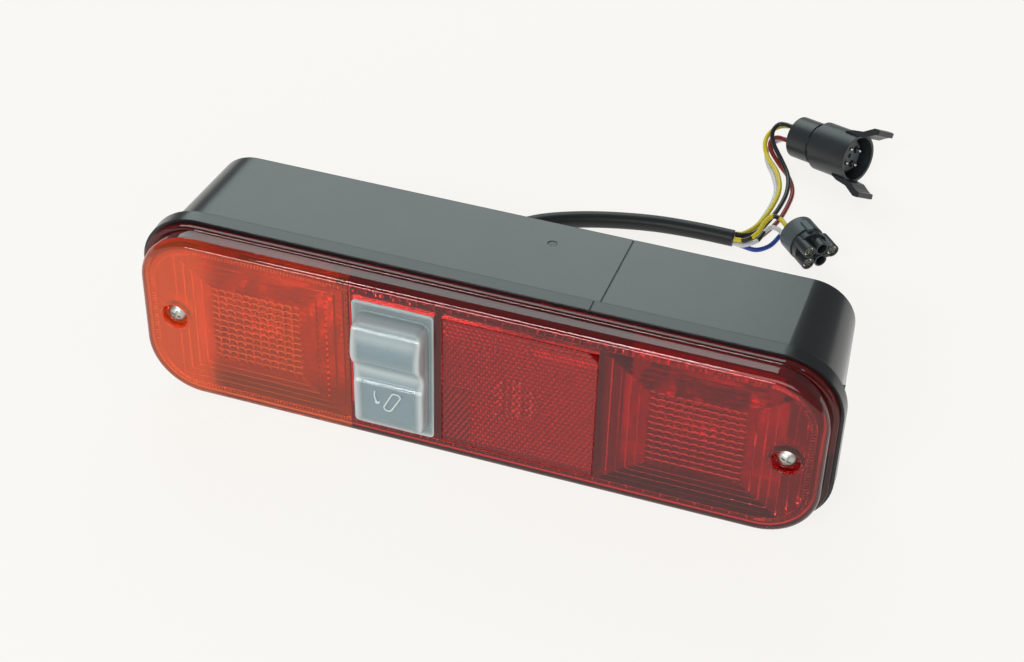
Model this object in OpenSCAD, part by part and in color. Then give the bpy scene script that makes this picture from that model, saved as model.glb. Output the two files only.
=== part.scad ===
// Rear light cluster for a tractor mudguard: a deep moulded housing with round ends, a full
// length red lens with an amber cap, a rocker switch under a soft boot, a reflex plate, two
// bulb chambers, and a cable that ends in two connectors.
// The lens faces -Y, the length runs along X, and the cluster stands on z = 0.

/* [Lamp] */
// Length over the housing's flange
lamp_l = 290; // [270:1:310]
// Height over the housing's flange
lamp_h = 84; // [80:0.5:90]
// Depth from the lens face to the back of the housing
lamp_d = 70; // [66:0.5:80]
// Corner radius of the flange
flange_r = 26; // [22:0.5:30]
// Depth of the flange band
flange_w = 6.2; // [5:0.1:9]
// Lens face to the front of the flange
flange_y = 12; // [11:0.1:14]

/* [Housing] */
// Wall thickness of the housing
wall = 2.6; // [2:0.1:3.2]
// How far the flange stands proud of the body
body_step = 3.5; // [3:0.1:5]
// How much each side draws in from the flange to the back
draft = 4; // [1:0.5:6]
// Radius of the posts that take the lens screws
post_r = 5; // [4.6:0.1:6]
// From a bulb's middle in to the fixing insert beside it
fixing_in = 26.3; // [24:0.1:27]
// Bore of the fixing inserts (M6 tapping size)
fixing_bore = 5; // [4:0.1:6]
// Length of the fixing inserts
fixing_len = 10; // [8:0.5:14]

/* [Lens] */
// Lens wall thickness
lens_t = 2.4; // [2:0.1:3]
// From the flange's end in to the lens wall
lens_in_x = 3.5; // [3.2:0.1:4.4]
// From the flange's top in to the lens wall
lens_in_z = 2.5; // [2.4:0.1:3.4]
// Flange corner radius less the lens corner radius
lens_in_r = 2; // [1.6:0.1:4]
// Size of the rounded shoulder round the lens face
shoulder = 3.6; // [3:0.1:4.2]
// Gap between the edge of the lip and the edge of the flange
lip_gap = 1.4; // [0.8:0.1:2]
// From the end of the lens in to its screw
screw_in = 14.5; // [14:0.1:16]
// Diameter of the lens screw's head
head_d = 8; // [7:0.1:9]
// Shank diameter of the lens screws
shank_d = 4; // [3.5:0.1:4.2]
// From a lens screw in to the middle of its window's optics, as a share of the lamp's height
optic_share = 0.425; // [0.415:0.005:0.44]
// From the middle of the amber optics to the cap's right edge
amber_reach = 40.9; // [39.5:0.1:41.5]
// Width of the pillow field
field_w = 39; // [33:1:43]
// Height of the pillow field
field_h = 37; // [31:1:41]
// Columns of pillows
pillow_cols = 11; // [8:1:13]
// Rows of pillows
pillow_rows = 12; // [8:1:14]
// Number of frame ribs round the pillow field
frame_ribs = 5; // [3:1:5]

/* [Switch] */
// Width of the rocker
rocker_w = 22; // [20:0.5:23]
// From the boot's dome in to the rocker's end
rocker_in = 2.3; // [2:0.1:3]
// Depth of the rocker's pin behind the lens face
pin_y = 4; // [3.5:0.1:5]
// Radius of the rocker's pin
pin_r = 1.6; // [1.3:0.1:2]
// How far the boot's crest stands out of the lens face
boot_rise = 10; // [9.5:0.1:11]
// Wall of the soft boot
boot_t = 1.2; // [0.8:0.1:1.4]
// Depth of the switch body behind its bezel
switch_d = 22; // [18:0.5:26]

/* [Reflex plate] */
// Width of the reflex plate
reflex_w = 63; // [60:0.5:64]
// From the lens's top in to the reflex plate
reflex_in = 8; // [7.5:0.5:10]
// Pitch of the plate's prisms
prism_pitch = 5.25; // [4:0.25:9]

/* [Bulbs] */
// Diameter of a bulb's glass
glass_d = 25; // [20:0.5:26]
// Diameter of a bulb's cap
cap_d = 15; // [13:0.1:15.6]
// Rim between a reflector's bowl and the side of its plate
bowl_rim = 2; // [1.8:0.1:4]

/* [Cable and connectors] */
// Diameter of the cable's sheath
sheath_d = 7.8; // [7:0.1:8]
// Diameter of a single wire
wire_d = 2.2; // [1.8:0.1:2.2]
// Radius of the pin connector's sleeve
sleeve_r = 10.1; // [9.6:0.1:10.4]
// Length of the pin connector, without its latches
sleeve_len = 36; // [32:0.5:40]
// Radius of the pin connector's collar
collar_r = 11.8; // [11.4:0.1:12.2]
// Spacing of the socket connector's contacts
contact_pitch = 6.4; // [6:0.1:6.6]
// Length of the socket connector
plug_len = 19; // [17:0.5:21]

/* [Hidden] */
$fn = 48;

// places of the lamp's own axes: y counts back from the lens face, z from the lamp's middle
face_y = boot_rise - (lamp_d + boot_rise) / 2;
mid_z = lamp_h / 2;
seat_gap = 0.3;

// lens outline and the middles of its parts along the lamp
lens_l = lamp_l - 2 * lens_in_x;
lens_h = lamp_h - 2 * lens_in_z;
lens_r = flange_r - lens_in_r;
screw_x = lens_l / 2 - screw_in;
optic_in = optic_share * lamp_h;
optic_x = screw_x - optic_in;
amber_edge = optic_x - amber_reach;
fixing_x = optic_x - fixing_in;

// housing
body_l = lamp_l - 2 * body_step;
body_h = lamp_h - 2 * body_step;
body_r = flange_r - body_step;
body_y = flange_y + flange_w;
back_in_y = lamp_d - wall;
groove_out = 3.2;
groove_w = 2.6;
groove_deep = 1.6;
seam_x = 45.2;
seam_w = 0.4;
seam_jog = 1.3;
mark_x = 15.5;
mark_y = 55;
mark_r = 1.9;
nick = 0.3;
lug_z1 = 13;
lug_z2 = 22;
lug_deep = 5;
boss_wall = 4;

// lens
lip_l = lamp_l - 2 * lip_gap;
lip_h = lamp_h - 2 * lip_gap;
lip_r = flange_r - lip_gap;
lip_t = 2.4;
gasket_gap = 0.6;
lip_y2 = flange_y - gasket_gap;
lip_y1 = lip_y2 - lip_t;
cap_t = shoulder;
window_y = cap_t + 0.2;
well_r = 5.6;
well_y = 3.5;
post_y = 9.6;
rib_h = 0.9;
gate_x = 70.6;
gate_w = 2.4;
gate_t = 0.9;
gate_h = 0.35;
pillow_h = 1.2;
insert_len = 12;
insert_wall = 1.2;
head_h = 2.6;
recess_l = 4.4;
recess_w = 0.9;
ring_x = 3.8;
ring_z = 2.9;
lens_post_r = 4.4;

// switch, about its own middle
boot_w = 34;
boot_h = lens_h - 16.4;
strip_w = 1.7;
switch_x = -amber_edge + strip_w + boot_w / 2;
dome_w = 30.4;
dome_h = boot_h - 9.6;
rocker_r = dome_h / 2 - rocker_in;
flange_t = 1.8;
boot_face = -0.4;
bezel_t = 1.6;
bezel_w = 31;
bezel_h = boot_h - 4.6;
bezel_y = boot_face + flange_t;
cavity_w = rocker_w + 0.6;
cavity_h = 2 * rocker_r + 0.6;
body_side = 1.9;
rocker_gap = 0.4;
crest_y = -boot_rise;
waist_y = -4.8;
lower_y = -6.8;
crest_z = 12.4;
waist_z = 1;
foot_z = -6;
blade_w = 6.3;
blade_l = 8;
blade_t = 0.8;
blade_pitch = 9;

// reflex plate
reflex_x1 = switch_x + boot_w / 2 + 3.4;
reflex_x = reflex_x1 + reflex_w / 2;
reflex_h = lens_h - 2 * reflex_in;
reflex_cut = 4;
plate_t = 3;
plate_seat = 1.4;
prism_h = 1.5;

// chambers
plate_gap = 0.7;
rim_gap = 2.9;
mirror_w = 2 * (optic_in - post_r - plate_gap);
mirror_h = body_h - 2 * wall - 2 * rim_gap;
bowl_r = mirror_w / 2 - bowl_rim;
leg_at = mirror_w / 2 - 4;
leg_r = 2.2;
bowl_y1 = 15;
bowl_y2 = 42;
bowl_hole = 9.4;
bowl_t = 1.4;
glass_y = 30;
cap_y1 = 43;
cap_y2 = 61;
holder_y = 47;
holder_r = 10.5;
holder_rim = 3;
strip_t = 1;
strip_h = 3.5;
strip_z = holder_r + holder_rim;
baffle_x = mirror_w / 2 - optic_x + 5.3;
baffle_t = 1.6;
rail_w = 1.4;
rail_off = baffle_t / 2 + rail_w / 2 + 0.25;

// back of the lamp
gland_x = -46;
gland_z = -12;
gland_len = 12;
gland_grip = 6;

// pin connector: rear middle, direction and rise
pin_at = [77, 233.5, 10.4];
pin_turn = -28;
pin_rise = 9;
pin_roll = -30;
pin_grid = 3.5;
insert_r = 8.6;
insert_back = 5;
latch_w = 12;
flat_r = 7.5;
tail_len = 12;
// socket connector
socket_at = [91.6, 158.4, 8.8];
socket_turn = -48;
fifth = [9, 0.5];
seal_r = wire_d / 2 + 0.6;
half_pitch = contact_pitch / 2;
contact_places = [[-half_pitch, half_pitch], [-half_pitch, -half_pitch], fifth];
blank_places = [[half_pitch, half_pitch], [half_pitch, -half_pitch]];
cavity_r = half_pitch - 0.1;
cap_len = 9;
hub_y = 1.2;
hub_r = 8;
face_gap = 0.3;

// routes: round numbers, in the cluster's own frame
sheath_route = [[-46, 47, 30], [-46, 60, 29.4], [-45.6, 70, 26], [-44.8, 80, 19.5], [-43.6, 90, 12.6],
    [-41.6, 100, 7.4], [-38, 111, 4.4], [-32.4, 122, 4], [-23, 131.4, 4], [-9, 139, 4], [8, 145, 4],
    [28, 149.4, 4], [48, 151, 4], [65, 151, 4]];
yellow_route = [[65.8, 153.1, 5.2], [68.8, 155.9, 4.4], [73, 166, 3.2], [76, 183, 2.9],
    [76, 198, 3.1], [71.6, 211, 3.3], [64.4, 221.6, 3.8], [61.2, 229.6, 5.8], [62, 236.4, 7.6],
    [65.6, 241, 9], [72.1, 241.5, 10.4], [79.2, 237.7, 11.7]];
white_route = [[65.8, 153.1, 2.8], [69, 155.6, 1.8], [72, 166, 1.15], [74.6, 183, 1.15],
    [74.6, 197, 1.15], [70.6, 209.4, 1.15], [65.4, 219.4, 1.15], [62.8, 228, 1.4],
    [64, 234.4, 2.4], [67.2, 238, 3.4], [71.3, 238, 4.4], [78.4, 234.2, 5.7]];
black_route = [[65.8, 151, 6.4], [69.6, 152.6, 5.8], [73.6, 158, 4.4], [76.6, 169, 3],
    [79.2, 183, 2.9], [79.8, 197, 2.9], [77.4, 209.4, 3.4], [72, 218.6, 5.2], [66.2, 226.2, 8],
    [63.8, 232, 10.8], [65.4, 236.2, 13], [69.1, 236.3, 14], [75.9, 232.6, 15.2]];
red_route = [[65.8, 151, 4], [69.4, 152, 3.4], [74, 155.6, 1.8], [77.4, 164, 1.15],
    [81, 176, 1.15], [82.4, 190, 1.15], [81.8, 201, 1.15], [77.6, 211.4, 1.15], [71.2, 219, 2.2],
    [65.4, 225.7, 4.5], [63.7, 230.6, 6.5], [66.6, 233.4, 7.7], [75.1, 229.1, 9.2]];
tracer_yellow_route = [[65.8, 148.9, 5.2], [71, 149, 6], [75.4, 153, 8], [77, 159, 10.2],
    [79.6, 163.2, 11.8], [83.5, 162.5, 12], [86.5, 159.2, 12], [89.4, 156.1, 12]];
blue_route = [[65.8, 151, 1.6], [70, 150.4, 1.15], [76.4, 149.8, 1.15], [81.6, 155, 1.2],
    [84.8, 162.6, 2.8], [88.6, 169, 6.4], [93.4, 169.6, 9], [98.4, 164.3, 9.3]];
tracer_white_route = [[65.8, 148.9, 2.8], [70.6, 148.4, 3.4], [75.8, 152.4, 4.5], [77.4, 158.8, 5],
    [79.8, 163.2, 5.6], [83.5, 162.5, 5.6], [86.5, 159.2, 5.6], [89.4, 156.1, 5.6]];

// Puts lamp coordinates (y from the lens face, z from the middle) into the cluster's frame
module lamp() translate([0, face_y, mid_z]) children();

// Rounded rectangle, w wide and h high
module rrect(w, h, r) {
    square([w - 2 * r, h], center = true);
    square([w, h - 2 * r], center = true);
    for (sx = [-1, 1], sz = [-1, 1]) translate([sx * (w / 2 - r), sz * (h / 2 - r)]) circle(r);
}

// Extrudes an outline drawn in x and z from depth y1 to depth y2
module slab(y1, y2) translate([0, y2, 0]) rotate([90, 0, 0]) linear_extrude(y2 - y1) children();

// Extrudes an outline drawn in y and z along x
module along_x(x1, x2) translate([x1, 0, 0]) rotate([90, 0, 90]) linear_extrude(x2 - x1) children();

// Box between two corners
module span(a, b) translate(a) cube(b - a);

// Cylinder along y from y1 to y2
module rod(x, z, y1, y2, r) translate([x, y1, z]) rotate([-90, 0, 0]) cylinder(h = y2 - y1, r = r);

// Rounded block whose sides all draw in by d between depths y1 and y2
module drafted(w, h, r, y1, y2, d) {
    cx = w / 2 - r;
    cz = h / 2 - r;
    along_x(-cx, cx) polygon([[y1, -h / 2], [y2, -h / 2 + d], [y2, h / 2 - d], [y1, h / 2]]);
    translate([0, 0, -cz]) linear_extrude(2 * cz)
        polygon([[-w / 2, y1], [w / 2, y1], [w / 2 - d, y2], [-w / 2 + d, y2]]);
    for (sx = [-1, 1], sz = [-1, 1]) translate([sx * cx, y1, sz * cz]) rotate([-90, 0, 0])
        cylinder(h = y2 - y1, r1 = r, r2 = r - d);
}

// Half height of the housing's body at depth y, e inside its surface
function body_half(y, e) = body_h / 2 - e - draft * (y - body_y) / (lamp_d - body_y);

module housing() color("#23282a") lamp() difference() {
    union() {
        difference() {
            union() {
                slab(flange_y, body_y) rrect(lamp_l, lamp_h, flange_r);
                drafted(body_l, body_h, body_r, body_y, lamp_d, draft);
            }
            slab(flange_y - 1, body_y) rrect(body_l - 2 * wall, body_h - 2 * wall, body_r - wall);
            drafted(body_l - 2 * wall, body_h - 2 * wall, body_r - wall, body_y, back_in_y, draft);
            slab(flange_y - 1, flange_y + groove_deep) gasket_outline();
        }
        for (s = [-1, 1]) rod(s * screw_x, 0, post_y, back_in_y + 1, post_r);
        for (s = [-1, 1])
            rod(s * fixing_x, 0, lamp_d - fixing_len - 2, lamp_d - 1, fixing_bore / 2 + boss_wall);
        // rails that carry the light baffle
        for (side = [-1, 1], flip = [0, 1]) mirror([0, 0, flip]) baffle_rail(baffle_x + side * rail_off);
        // moulded lug on the right end
        span([body_l / 2 - wall, body_y + 3, lug_z1], [body_l / 2 + 0.5, body_y + 3 + lug_deep, lug_z2]);
    }
    for (s = [-1, 1]) rod(s * screw_x, 0, post_y - 1, post_y + insert_len + 2, shank_d / 2 + insert_wall);
    for (s = [-1, 1]) rod(s * fixing_x, 0, lamp_d - fixing_len, lamp_d + 1, fixing_bore / 2 + 1.5);
    rod(gland_x, gland_z, back_in_y - 1, lamp_d + 1, sheath_d / 2 + 2);
    // mould line across the top and down the flange
    along_x(seam_x - seam_w / 2, seam_x + seam_w / 2)
        polygon([[body_y, body_half(body_y, nick)], [lamp_d, body_half(lamp_d, nick)],
            [lamp_d, body_h / 2 + 1], [body_y, body_h / 2 + 1]]);
    span([seam_x - seam_jog - seam_w / 2, flange_y - 1, lamp_h / 2 - nick],
        [seam_x - seam_jog + seam_w / 2, body_y + 0.01, lamp_h / 2 + 1]);
    // ejector mark
    translate([mark_x, mark_y, body_half(mark_y, nick)]) cylinder(h = 3, r = mark_r);
}

// One of the rails under the housing's roof
module baffle_rail(x) along_x(x - rail_w / 2, x + rail_w / 2)
    polygon([[body_y + 2, body_half(body_y + 2, wall + 2.5)], [back_in_y, body_half(back_in_y, wall + 2.5)],
        [back_in_y, body_half(back_in_y, wall / 2)], [body_y + 2, body_half(body_y + 2, wall / 2)]]);

module gasket_outline() difference() {
    rrect(lamp_l - 2 * groove_out, lamp_h - 2 * groove_out, flange_r - groove_out);
    rrect(lamp_l - 2 * groove_out - 2 * groove_w, lamp_h - 2 * groove_out - 2 * groove_w,
        flange_r - groove_out - groove_w);
}

module lens_gasket() color("#101212") lamp()
    slab(lip_y2, flange_y + groove_deep) gasket_outline();

// The lens from its face to depth y2, as a solid inside its outer surface less e
module lens_block(e, y2) {
    half = shoulder / 2;
    w = lens_l - 2 * e;
    h = lens_h - 2 * e;
    r = lens_r - e;
    // two bands that turn the shoulder, then the straight wall
    drafted_out(w - shoulder * 0.6, h - shoulder * 0.6, r - shoulder * 0.3, e, e + half * 0.6, shoulder * 0.5);
    drafted_out(w, h, r, e + half * 0.6, e + shoulder, shoulder * 0.3);
    if (y2 > e + shoulder) slab(e + shoulder, y2) rrect(w, h, r);
}

// Rounded block that grows by d towards depth y2, where it is w by h
module drafted_out(w, h, r, y1, y2, d) translate([0, y1 + y2, 0]) mirror([0, 1, 0])
    drafted(w, h, r, y1, y2, d);

// Cut for a screw's well, with the clearance hole through its floor
module screw_well(x) {
    rod(x, 0, -1, well_y, well_r);
    rod(x, 0, well_y - 1, flange_y + 10, shank_d / 2 + 0.3);
}

// Rings of ribs round a pillow field, like the mouldings of a picture frame
module frame_rings(y) for (i = [0 : frame_ribs - 1]) {
    w = field_w + (i + 1) * 2 * ring_x;
    h = field_h + (i + 1) * 2 * ring_z;
    slab(y, y + rib_h) difference() {
        square([w, h], center = true);
        square([w - ring_x, h - ring_z], center = true);
    }
}

// Field of pillows: a pad crossed by two sets of grooves
module pillows(y) {
    pw = field_w / pillow_cols;
    ph = field_h / pillow_rows;
    difference() {
        slab(y, y + pillow_h) square([field_w, field_h], center = true);
        for (i = [0 : pillow_cols]) translate([-field_w / 2 + i * pw, 0, 0])
            translate([0, 0, -field_h]) linear_extrude(2 * field_h)
                polygon([[-0.8, y + pillow_h + 0.1], [0, y + 0.3], [0.8, y + pillow_h + 0.1]]);
        for (i = [0 : pillow_rows]) translate([0, 0, -field_h / 2 + i * ph])
            along_x(-field_w, field_w)
                polygon([[y + pillow_h + 0.1, -0.7], [y + 0.3, 0], [y + pillow_h + 0.1, 0.7]]);
    }
}

// Upright ribs from x1 to x2
module upright_ribs(x1, x2, pitch, h, y)
    for (x = [x1 : pitch : x2])
        span([x, y, -h / 2], [x + pitch * 0.55, y + rib_h, h / 2]);

module red_lens() color("#a3201e", 0.75) lamp() difference() {
    union() {
        difference() {
            union() {
                // right of the amber cap the face and its shoulder, left of it only the wall
                difference() {
                    lens_block(0, lip_y2);
                    span([-lens_l, -1, -lens_h], [-amber_edge, cap_t, lens_h]);
                }
                slab(lip_y1, lip_y2) rrect(lip_l, lip_h, lip_r);
            }
            // hollow inside
            difference() {
                lens_block(lens_t, lip_y2 + 1);
                span([-lens_l, -1, -lens_h], [-amber_edge + lens_t, cap_t, lens_h]);
            }
            slab(cap_t - 1, lip_y2 + 1) intersection() {
                rrect(lens_l - 2 * lens_t, lens_h - 2 * lens_t, lens_r - lens_t);
                translate([-lens_l - amber_edge, -lens_h]) square([lens_l, 2 * lens_h]);
            }
        }
        // walls of the switch pocket
        difference() {
            span([switch_x - bezel_w / 2 - 2, lens_t - 0.5, -bezel_h / 2 - 4],
                [switch_x + bezel_w / 2 + 2, flange_y + 2, bezel_h / 2 + 4]);
            span([switch_x - bezel_w / 2 - 0.2, -1, -bezel_h / 2 - 0.2],
                [switch_x + bezel_w / 2 + 0.2, flange_y + 3, bezel_h / 2 + 0.2]);
        }
        // post behind the right well
        rod(screw_x, 0, lens_t - 0.5, post_y, lens_post_r + 2.4);
        // moulding gates on the lip
        for (x = [-gate_x, 0, gate_x]) translate([x - 0.7, 0, 0])
            span([-gate_w / 2, lip_y2 - gate_t, lip_h / 2 - 1], [gate_w / 2, lip_y2 - 0.1, lip_h / 2 + gate_h]);
        translate([optic_x, 0, 0]) {
            pillows(lens_t - 0.05);
            frame_rings(lens_t - 0.05);
        }
        upright_ribs(optic_x + field_w / 2 + (frame_ribs + 0.5) * ring_x, lens_l / 2 - 6, 4, field_h - 1,
            lens_t - 0.05);
    }
    // window of the boot
    slab(-1, bezel_y) translate([switch_x, 0]) square([boot_w + 0.2, boot_h + 0.2], center = true);
    slab(-1, bezel_y + bezel_t + 1) translate([switch_x, 0]) square([bezel_w + 0.2, bezel_h + 0.2], center = true);
    // window of the reflex plate, over a ledge
    slab(-1, plate_seat) reflex_outline(0.15);
    slab(-1, lip_y2) reflex_outline(-1.4);
    screw_well(screw_x);
}

module amber_lens() color("#d2561f", 0.8) lamp() difference() {
    union() {
        intersection() {
            difference() {
                lens_block(0, cap_t);
                lens_block(lens_t, lip_y2);
            }
            span([-lens_l, -1, -lens_h], [-amber_edge - 0.1, cap_t, lens_h]);
        }
        translate([-optic_x, 0, 0]) {
            pillows(lens_t - 0.05);
            frame_rings(lens_t - 0.05);
        }
        rod(-screw_x, 0, lens_t - 0.5, post_y, lens_post_r + 2.4);
    }
    screw_well(-screw_x);
}

// Outline of the reflex plate with its keyed corner, e larger all round
module reflex_outline(e) translate([reflex_x, 0]) polygon([
    [-reflex_w / 2 - e, -reflex_h / 2 - e], [reflex_w / 2 + e, -reflex_h / 2 - e],
    [reflex_w / 2 + e, reflex_h / 2 - reflex_cut + e * 0.4], [reflex_w / 2 - reflex_cut + e * 0.4, reflex_h / 2 + e],
    [-reflex_w / 2 - e, reflex_h / 2 + e]]);

module reflex_plate() color("#b01c1a", 0.85) lamp() difference() {
    union() {
        slab(0, plate_seat) reflex_outline(0);
        slab(plate_seat - 0.1, plate_t + prism_h) reflex_outline(-1.6);
    }
    // crossed grooves leave the prisms on the back
    for (x = [reflex_x - reflex_w / 2 + 2 : prism_pitch : reflex_x + reflex_w / 2 - 1])
        translate([x, 0, -reflex_h]) linear_extrude(2 * reflex_h)
            polygon([[-1.5, plate_t + prism_h + 0.1], [0, plate_t], [1.5, plate_t + prism_h + 0.1]]);
    for (z = [-reflex_h / 2 + 2 : prism_pitch : reflex_h / 2 - 1])
        translate([0, 0, z]) along_x(reflex_x - reflex_w, reflex_x + reflex_w)
            polygon([[plate_t + prism_h + 0.1, -1.5], [plate_t, 0], [plate_t + prism_h + 0.1, 1.5]]);
}

// Side profile of the rocker's face, g inside the boot's outer surface
function face_line(g, top, bottom) = [[crest_y + 2.4 + g, top], [crest_y + g, crest_z + g / 2],
    [crest_y + 0.6 + g, crest_z - 2.5], [waist_y + g, waist_z], [waist_y + g, waist_z - 2.5],
    [lower_y + g, foot_z - g / 2], [lower_y + 0.4 + g, bottom]];

module switch_boot() color("#a9b8b8", 0.7) lamp() translate([switch_x, 0, 0]) difference() {
    union() {
        slab(boot_face, bezel_y) rrect(boot_w, boot_h, 2);
        intersection() {
            slab(crest_y - 1, bezel_y) rrect(dome_w, dome_h, 5);
            along_x(-dome_w / 2, dome_w / 2)
                polygon(concat([[bezel_y, dome_h / 2]], face_line(0, dome_h / 2, -dome_h / 2), [[bezel_y, -dome_h / 2]]));
        }
    }
    intersection() {
        slab(crest_y - 1, bezel_y + 1) rrect(dome_w - 2 * boot_t, dome_h - 2 * boot_t, 5 - boot_t);
        along_x(-dome_w / 2, dome_w / 2) polygon(concat([[bezel_y + 1, dome_h / 2]],
            face_line(boot_t, dome_h / 2, -dome_h / 2), [[bezel_y + 1, -dome_h / 2]]));
    }
}

module switch_rocker() color("#6f8590") lamp() translate([switch_x, 0, 0]) {
    g = boot_t + rocker_gap;
    intersection() {
        along_x(-rocker_w / 2, rocker_w / 2) polygon(concat([[pin_y, rocker_r]],
            face_line(g, rocker_r, -rocker_r),
            [[pin_y, -rocker_r], [pin_y + 3, -8], [pin_y + 5, 0], [pin_y + 3, 8]]));
        along_x(-rocker_w, rocker_w) translate([pin_y, 0]) circle(rocker_r);
    }
    along_x(-rocker_w / 2 - 1.7, rocker_w / 2 + 1.7) translate([pin_y, 0]) circle(pin_r);
}

module switch_body() color("#1c1f21") lamp() translate([switch_x, 0, 0]) difference() {
    union() {
        slab(bezel_y, bezel_y + bezel_t) square([bezel_w - 0.2, bezel_h - 0.2], center = true);
        slab(bezel_y + bezel_t - 0.1, bezel_y + switch_d)
            square([cavity_w + 2 * body_side, cavity_h + 2 * body_side], center = true);
    }
    slab(bezel_y - 1, pin_y + 10) square([cavity_w, cavity_h], center = true);
    along_x(-bezel_w, bezel_w) translate([pin_y, 0]) circle(pin_r + 0.05);
}

module switch_terminals() color("#c9a24a") lamp() for (i = [-2 : 2]) translate([switch_x, 0, i * blade_pitch])
    slab(bezel_y + switch_d, bezel_y + switch_d + blade_l) square([blade_w, blade_t], center = true);

module lens_screws() color("#c9ccc8") lamp() for (s = [-1, 1]) translate([s * screw_x, 0, 0]) difference() {
    union() {
        // pan head: a cylinder with a domed top
        translate([0, well_y, 0]) rotate([90, 0, 0]) intersection() {
            cylinder(h = head_h, r = head_d / 2);
            translate([0, 0, head_h - head_d * 0.72]) sphere(r = head_d * 0.72, $fn = 64);
        }
        rod(0, 0, well_y - 0.1, post_y + insert_len - 1, shank_d / 2);
    }
    // cross recess
    for (a = [20, 110]) translate([0, -1, 0]) rotate([0, a, 0])
        translate([-recess_l / 2, 0, -recess_w / 2]) cube([recess_l, well_y - 0.4, recess_w]);
}

module lens_inserts() color("#b8923e") lamp() for (s = [-1, 1]) difference() {
    rod(s * screw_x, 0, post_y, post_y + insert_len, shank_d / 2 + insert_wall);
    rod(s * screw_x, 0, post_y - 1, post_y + insert_len + 1, shank_d / 2 + 0.05);
}

module light_baffle() color("#dfe2de") lamp() difference() {
    half = [body_half(body_y, wall) - seat_gap, body_half(back_in_y, wall) - seat_gap];
    along_x(baffle_x - baffle_t / 2, baffle_x + baffle_t / 2)
        polygon([[flange_y + 3, -half[0]], [flange_y + 3, half[0]], [body_y, half[0]],
            [back_in_y - seat_gap, half[1]], [back_in_y - seat_gap, -half[1]], [body_y, -half[0]]]);
    // notch for the earth strip
    span([baffle_x - baffle_t, back_in_y - strip_t - seat_gap, strip_z - seat_gap],
        [baffle_x + baffle_t, back_in_y, strip_z + strip_h + seat_gap]);
}

// Points of a parabola from the bowl's hole to its mouth, e outside it
function rise(r) = (r * r - bowl_hole * bowl_hole) / (bowl_r * bowl_r - bowl_hole * bowl_hole);
function bowl_line(e) = [for (i = [0 : 8]) let (r = bowl_hole + (bowl_r - bowl_hole) * i / 8)
    [r + e * 0.6, (bowl_y2 - bowl_y1) * (1 - rise(r)) + e]];

module reflector(x) lamp() translate([x, bowl_y1, 0]) {
    rotate([-90, 0, 0]) rotate_extrude($fn = 64)
        polygon(concat(bowl_line(0), [for (i = [8 : -1 : 0]) bowl_line(bowl_t)[i]]));
    slab(0, bowl_t) difference() {
        square([mirror_w, mirror_h], center = true);
        circle(bowl_r);
    }
    // legs that stand on the back wall
    for (sx = [-1, 1], sz = [-1, 1])
        rod(sx * leg_at, sz * leg_at, bowl_t - 0.1, back_in_y - bowl_y1, leg_r);
}

module indicator_reflector() color("#c8ccd0") reflector(-optic_x);
module tail_reflector() color("#c8ccd0") reflector(optic_x);

module bulb_glass(x) lamp() {
    translate([x, glass_y, 0]) sphere(d = glass_d, $fn = 64);
    rod(x, 0, glass_y + 6, cap_y1, cap_d / 2 - 1.2);
}

module bulb_cap(x) lamp() {
    rod(x, 0, cap_y1, cap_y2, cap_d / 2);
    rod(x, 0, cap_y2 - 0.1, cap_y2 + 2, 3);
    // bayonet pins
    translate([x, cap_y1 + 9, 0]) rotate([0, 90, 0]) translate([0, 0, -cap_d / 2 - 1]) cylinder(h = cap_d + 2, r = 1);
}

module bulb_holder(x) lamp() difference() {
    union() {
        rod(x, 0, holder_y, back_in_y, holder_r);
        rod(x, 0, back_in_y - 3, back_in_y, holder_r + holder_rim);
    }
    rod(x, 0, holder_y - 1, cap_y2 + 2, cap_d / 2 + 0.2);
    // slots for the bayonet pins
    span([x - cap_d / 2 - 1.3, holder_y - 1, -1.3], [x + cap_d / 2 + 1.3, cap_y1 + 10.3, 1.3]);
}

module indicator_bulb() color("#dfe6e6", 0.6) bulb_glass(-optic_x);
module indicator_bulb_cap() color("#b59a5a") bulb_cap(-optic_x);
module indicator_holder() color("#8d9296") bulb_holder(-optic_x);
module tail_bulb() color("#dfe6e6", 0.6) bulb_glass(optic_x);
module tail_bulb_cap() color("#b59a5a") bulb_cap(optic_x);
module tail_holder() color("#8d9296") bulb_holder(optic_x);

// Bar that earths both holders, lying on the back wall
module earth_strip() color("#c2a25a") lamp()
    span([-optic_x - 8, back_in_y - strip_t, strip_z], [optic_x + 8, back_in_y, strip_z + strip_h]);

module fixing_inserts() color("#b8923e") lamp() for (s = [-1, 1]) difference() {
    rod(s * fixing_x, 0, lamp_d - fixing_len, lamp_d, fixing_bore / 2 + 1.5);
    rod(s * fixing_x, 0, lamp_d - fixing_len - 1, lamp_d + 1, fixing_bore / 2);
}

module cable_gland() color("#141617") lamp() translate([gland_x, lamp_d, gland_z]) rotate([-90, 0, 0])
    rotate_extrude() polygon([[sheath_d / 2 + 0.15, -wall - 1.8], [sheath_d / 2 + 2.8, -wall - 1.8],
        [sheath_d / 2 + 2.8, -wall], [sheath_d / 2 + 2, -wall], [sheath_d / 2 + 2, 0], [sheath_d / 2 + 4.4, 0],
        [sheath_d / 2 + 4.4, 2.4], [sheath_d / 2 + 2.6, 3.4], [sheath_d / 2 + 1.5, gland_len],
        [sheath_d / 2 + 0.15, gland_len]]);

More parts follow.
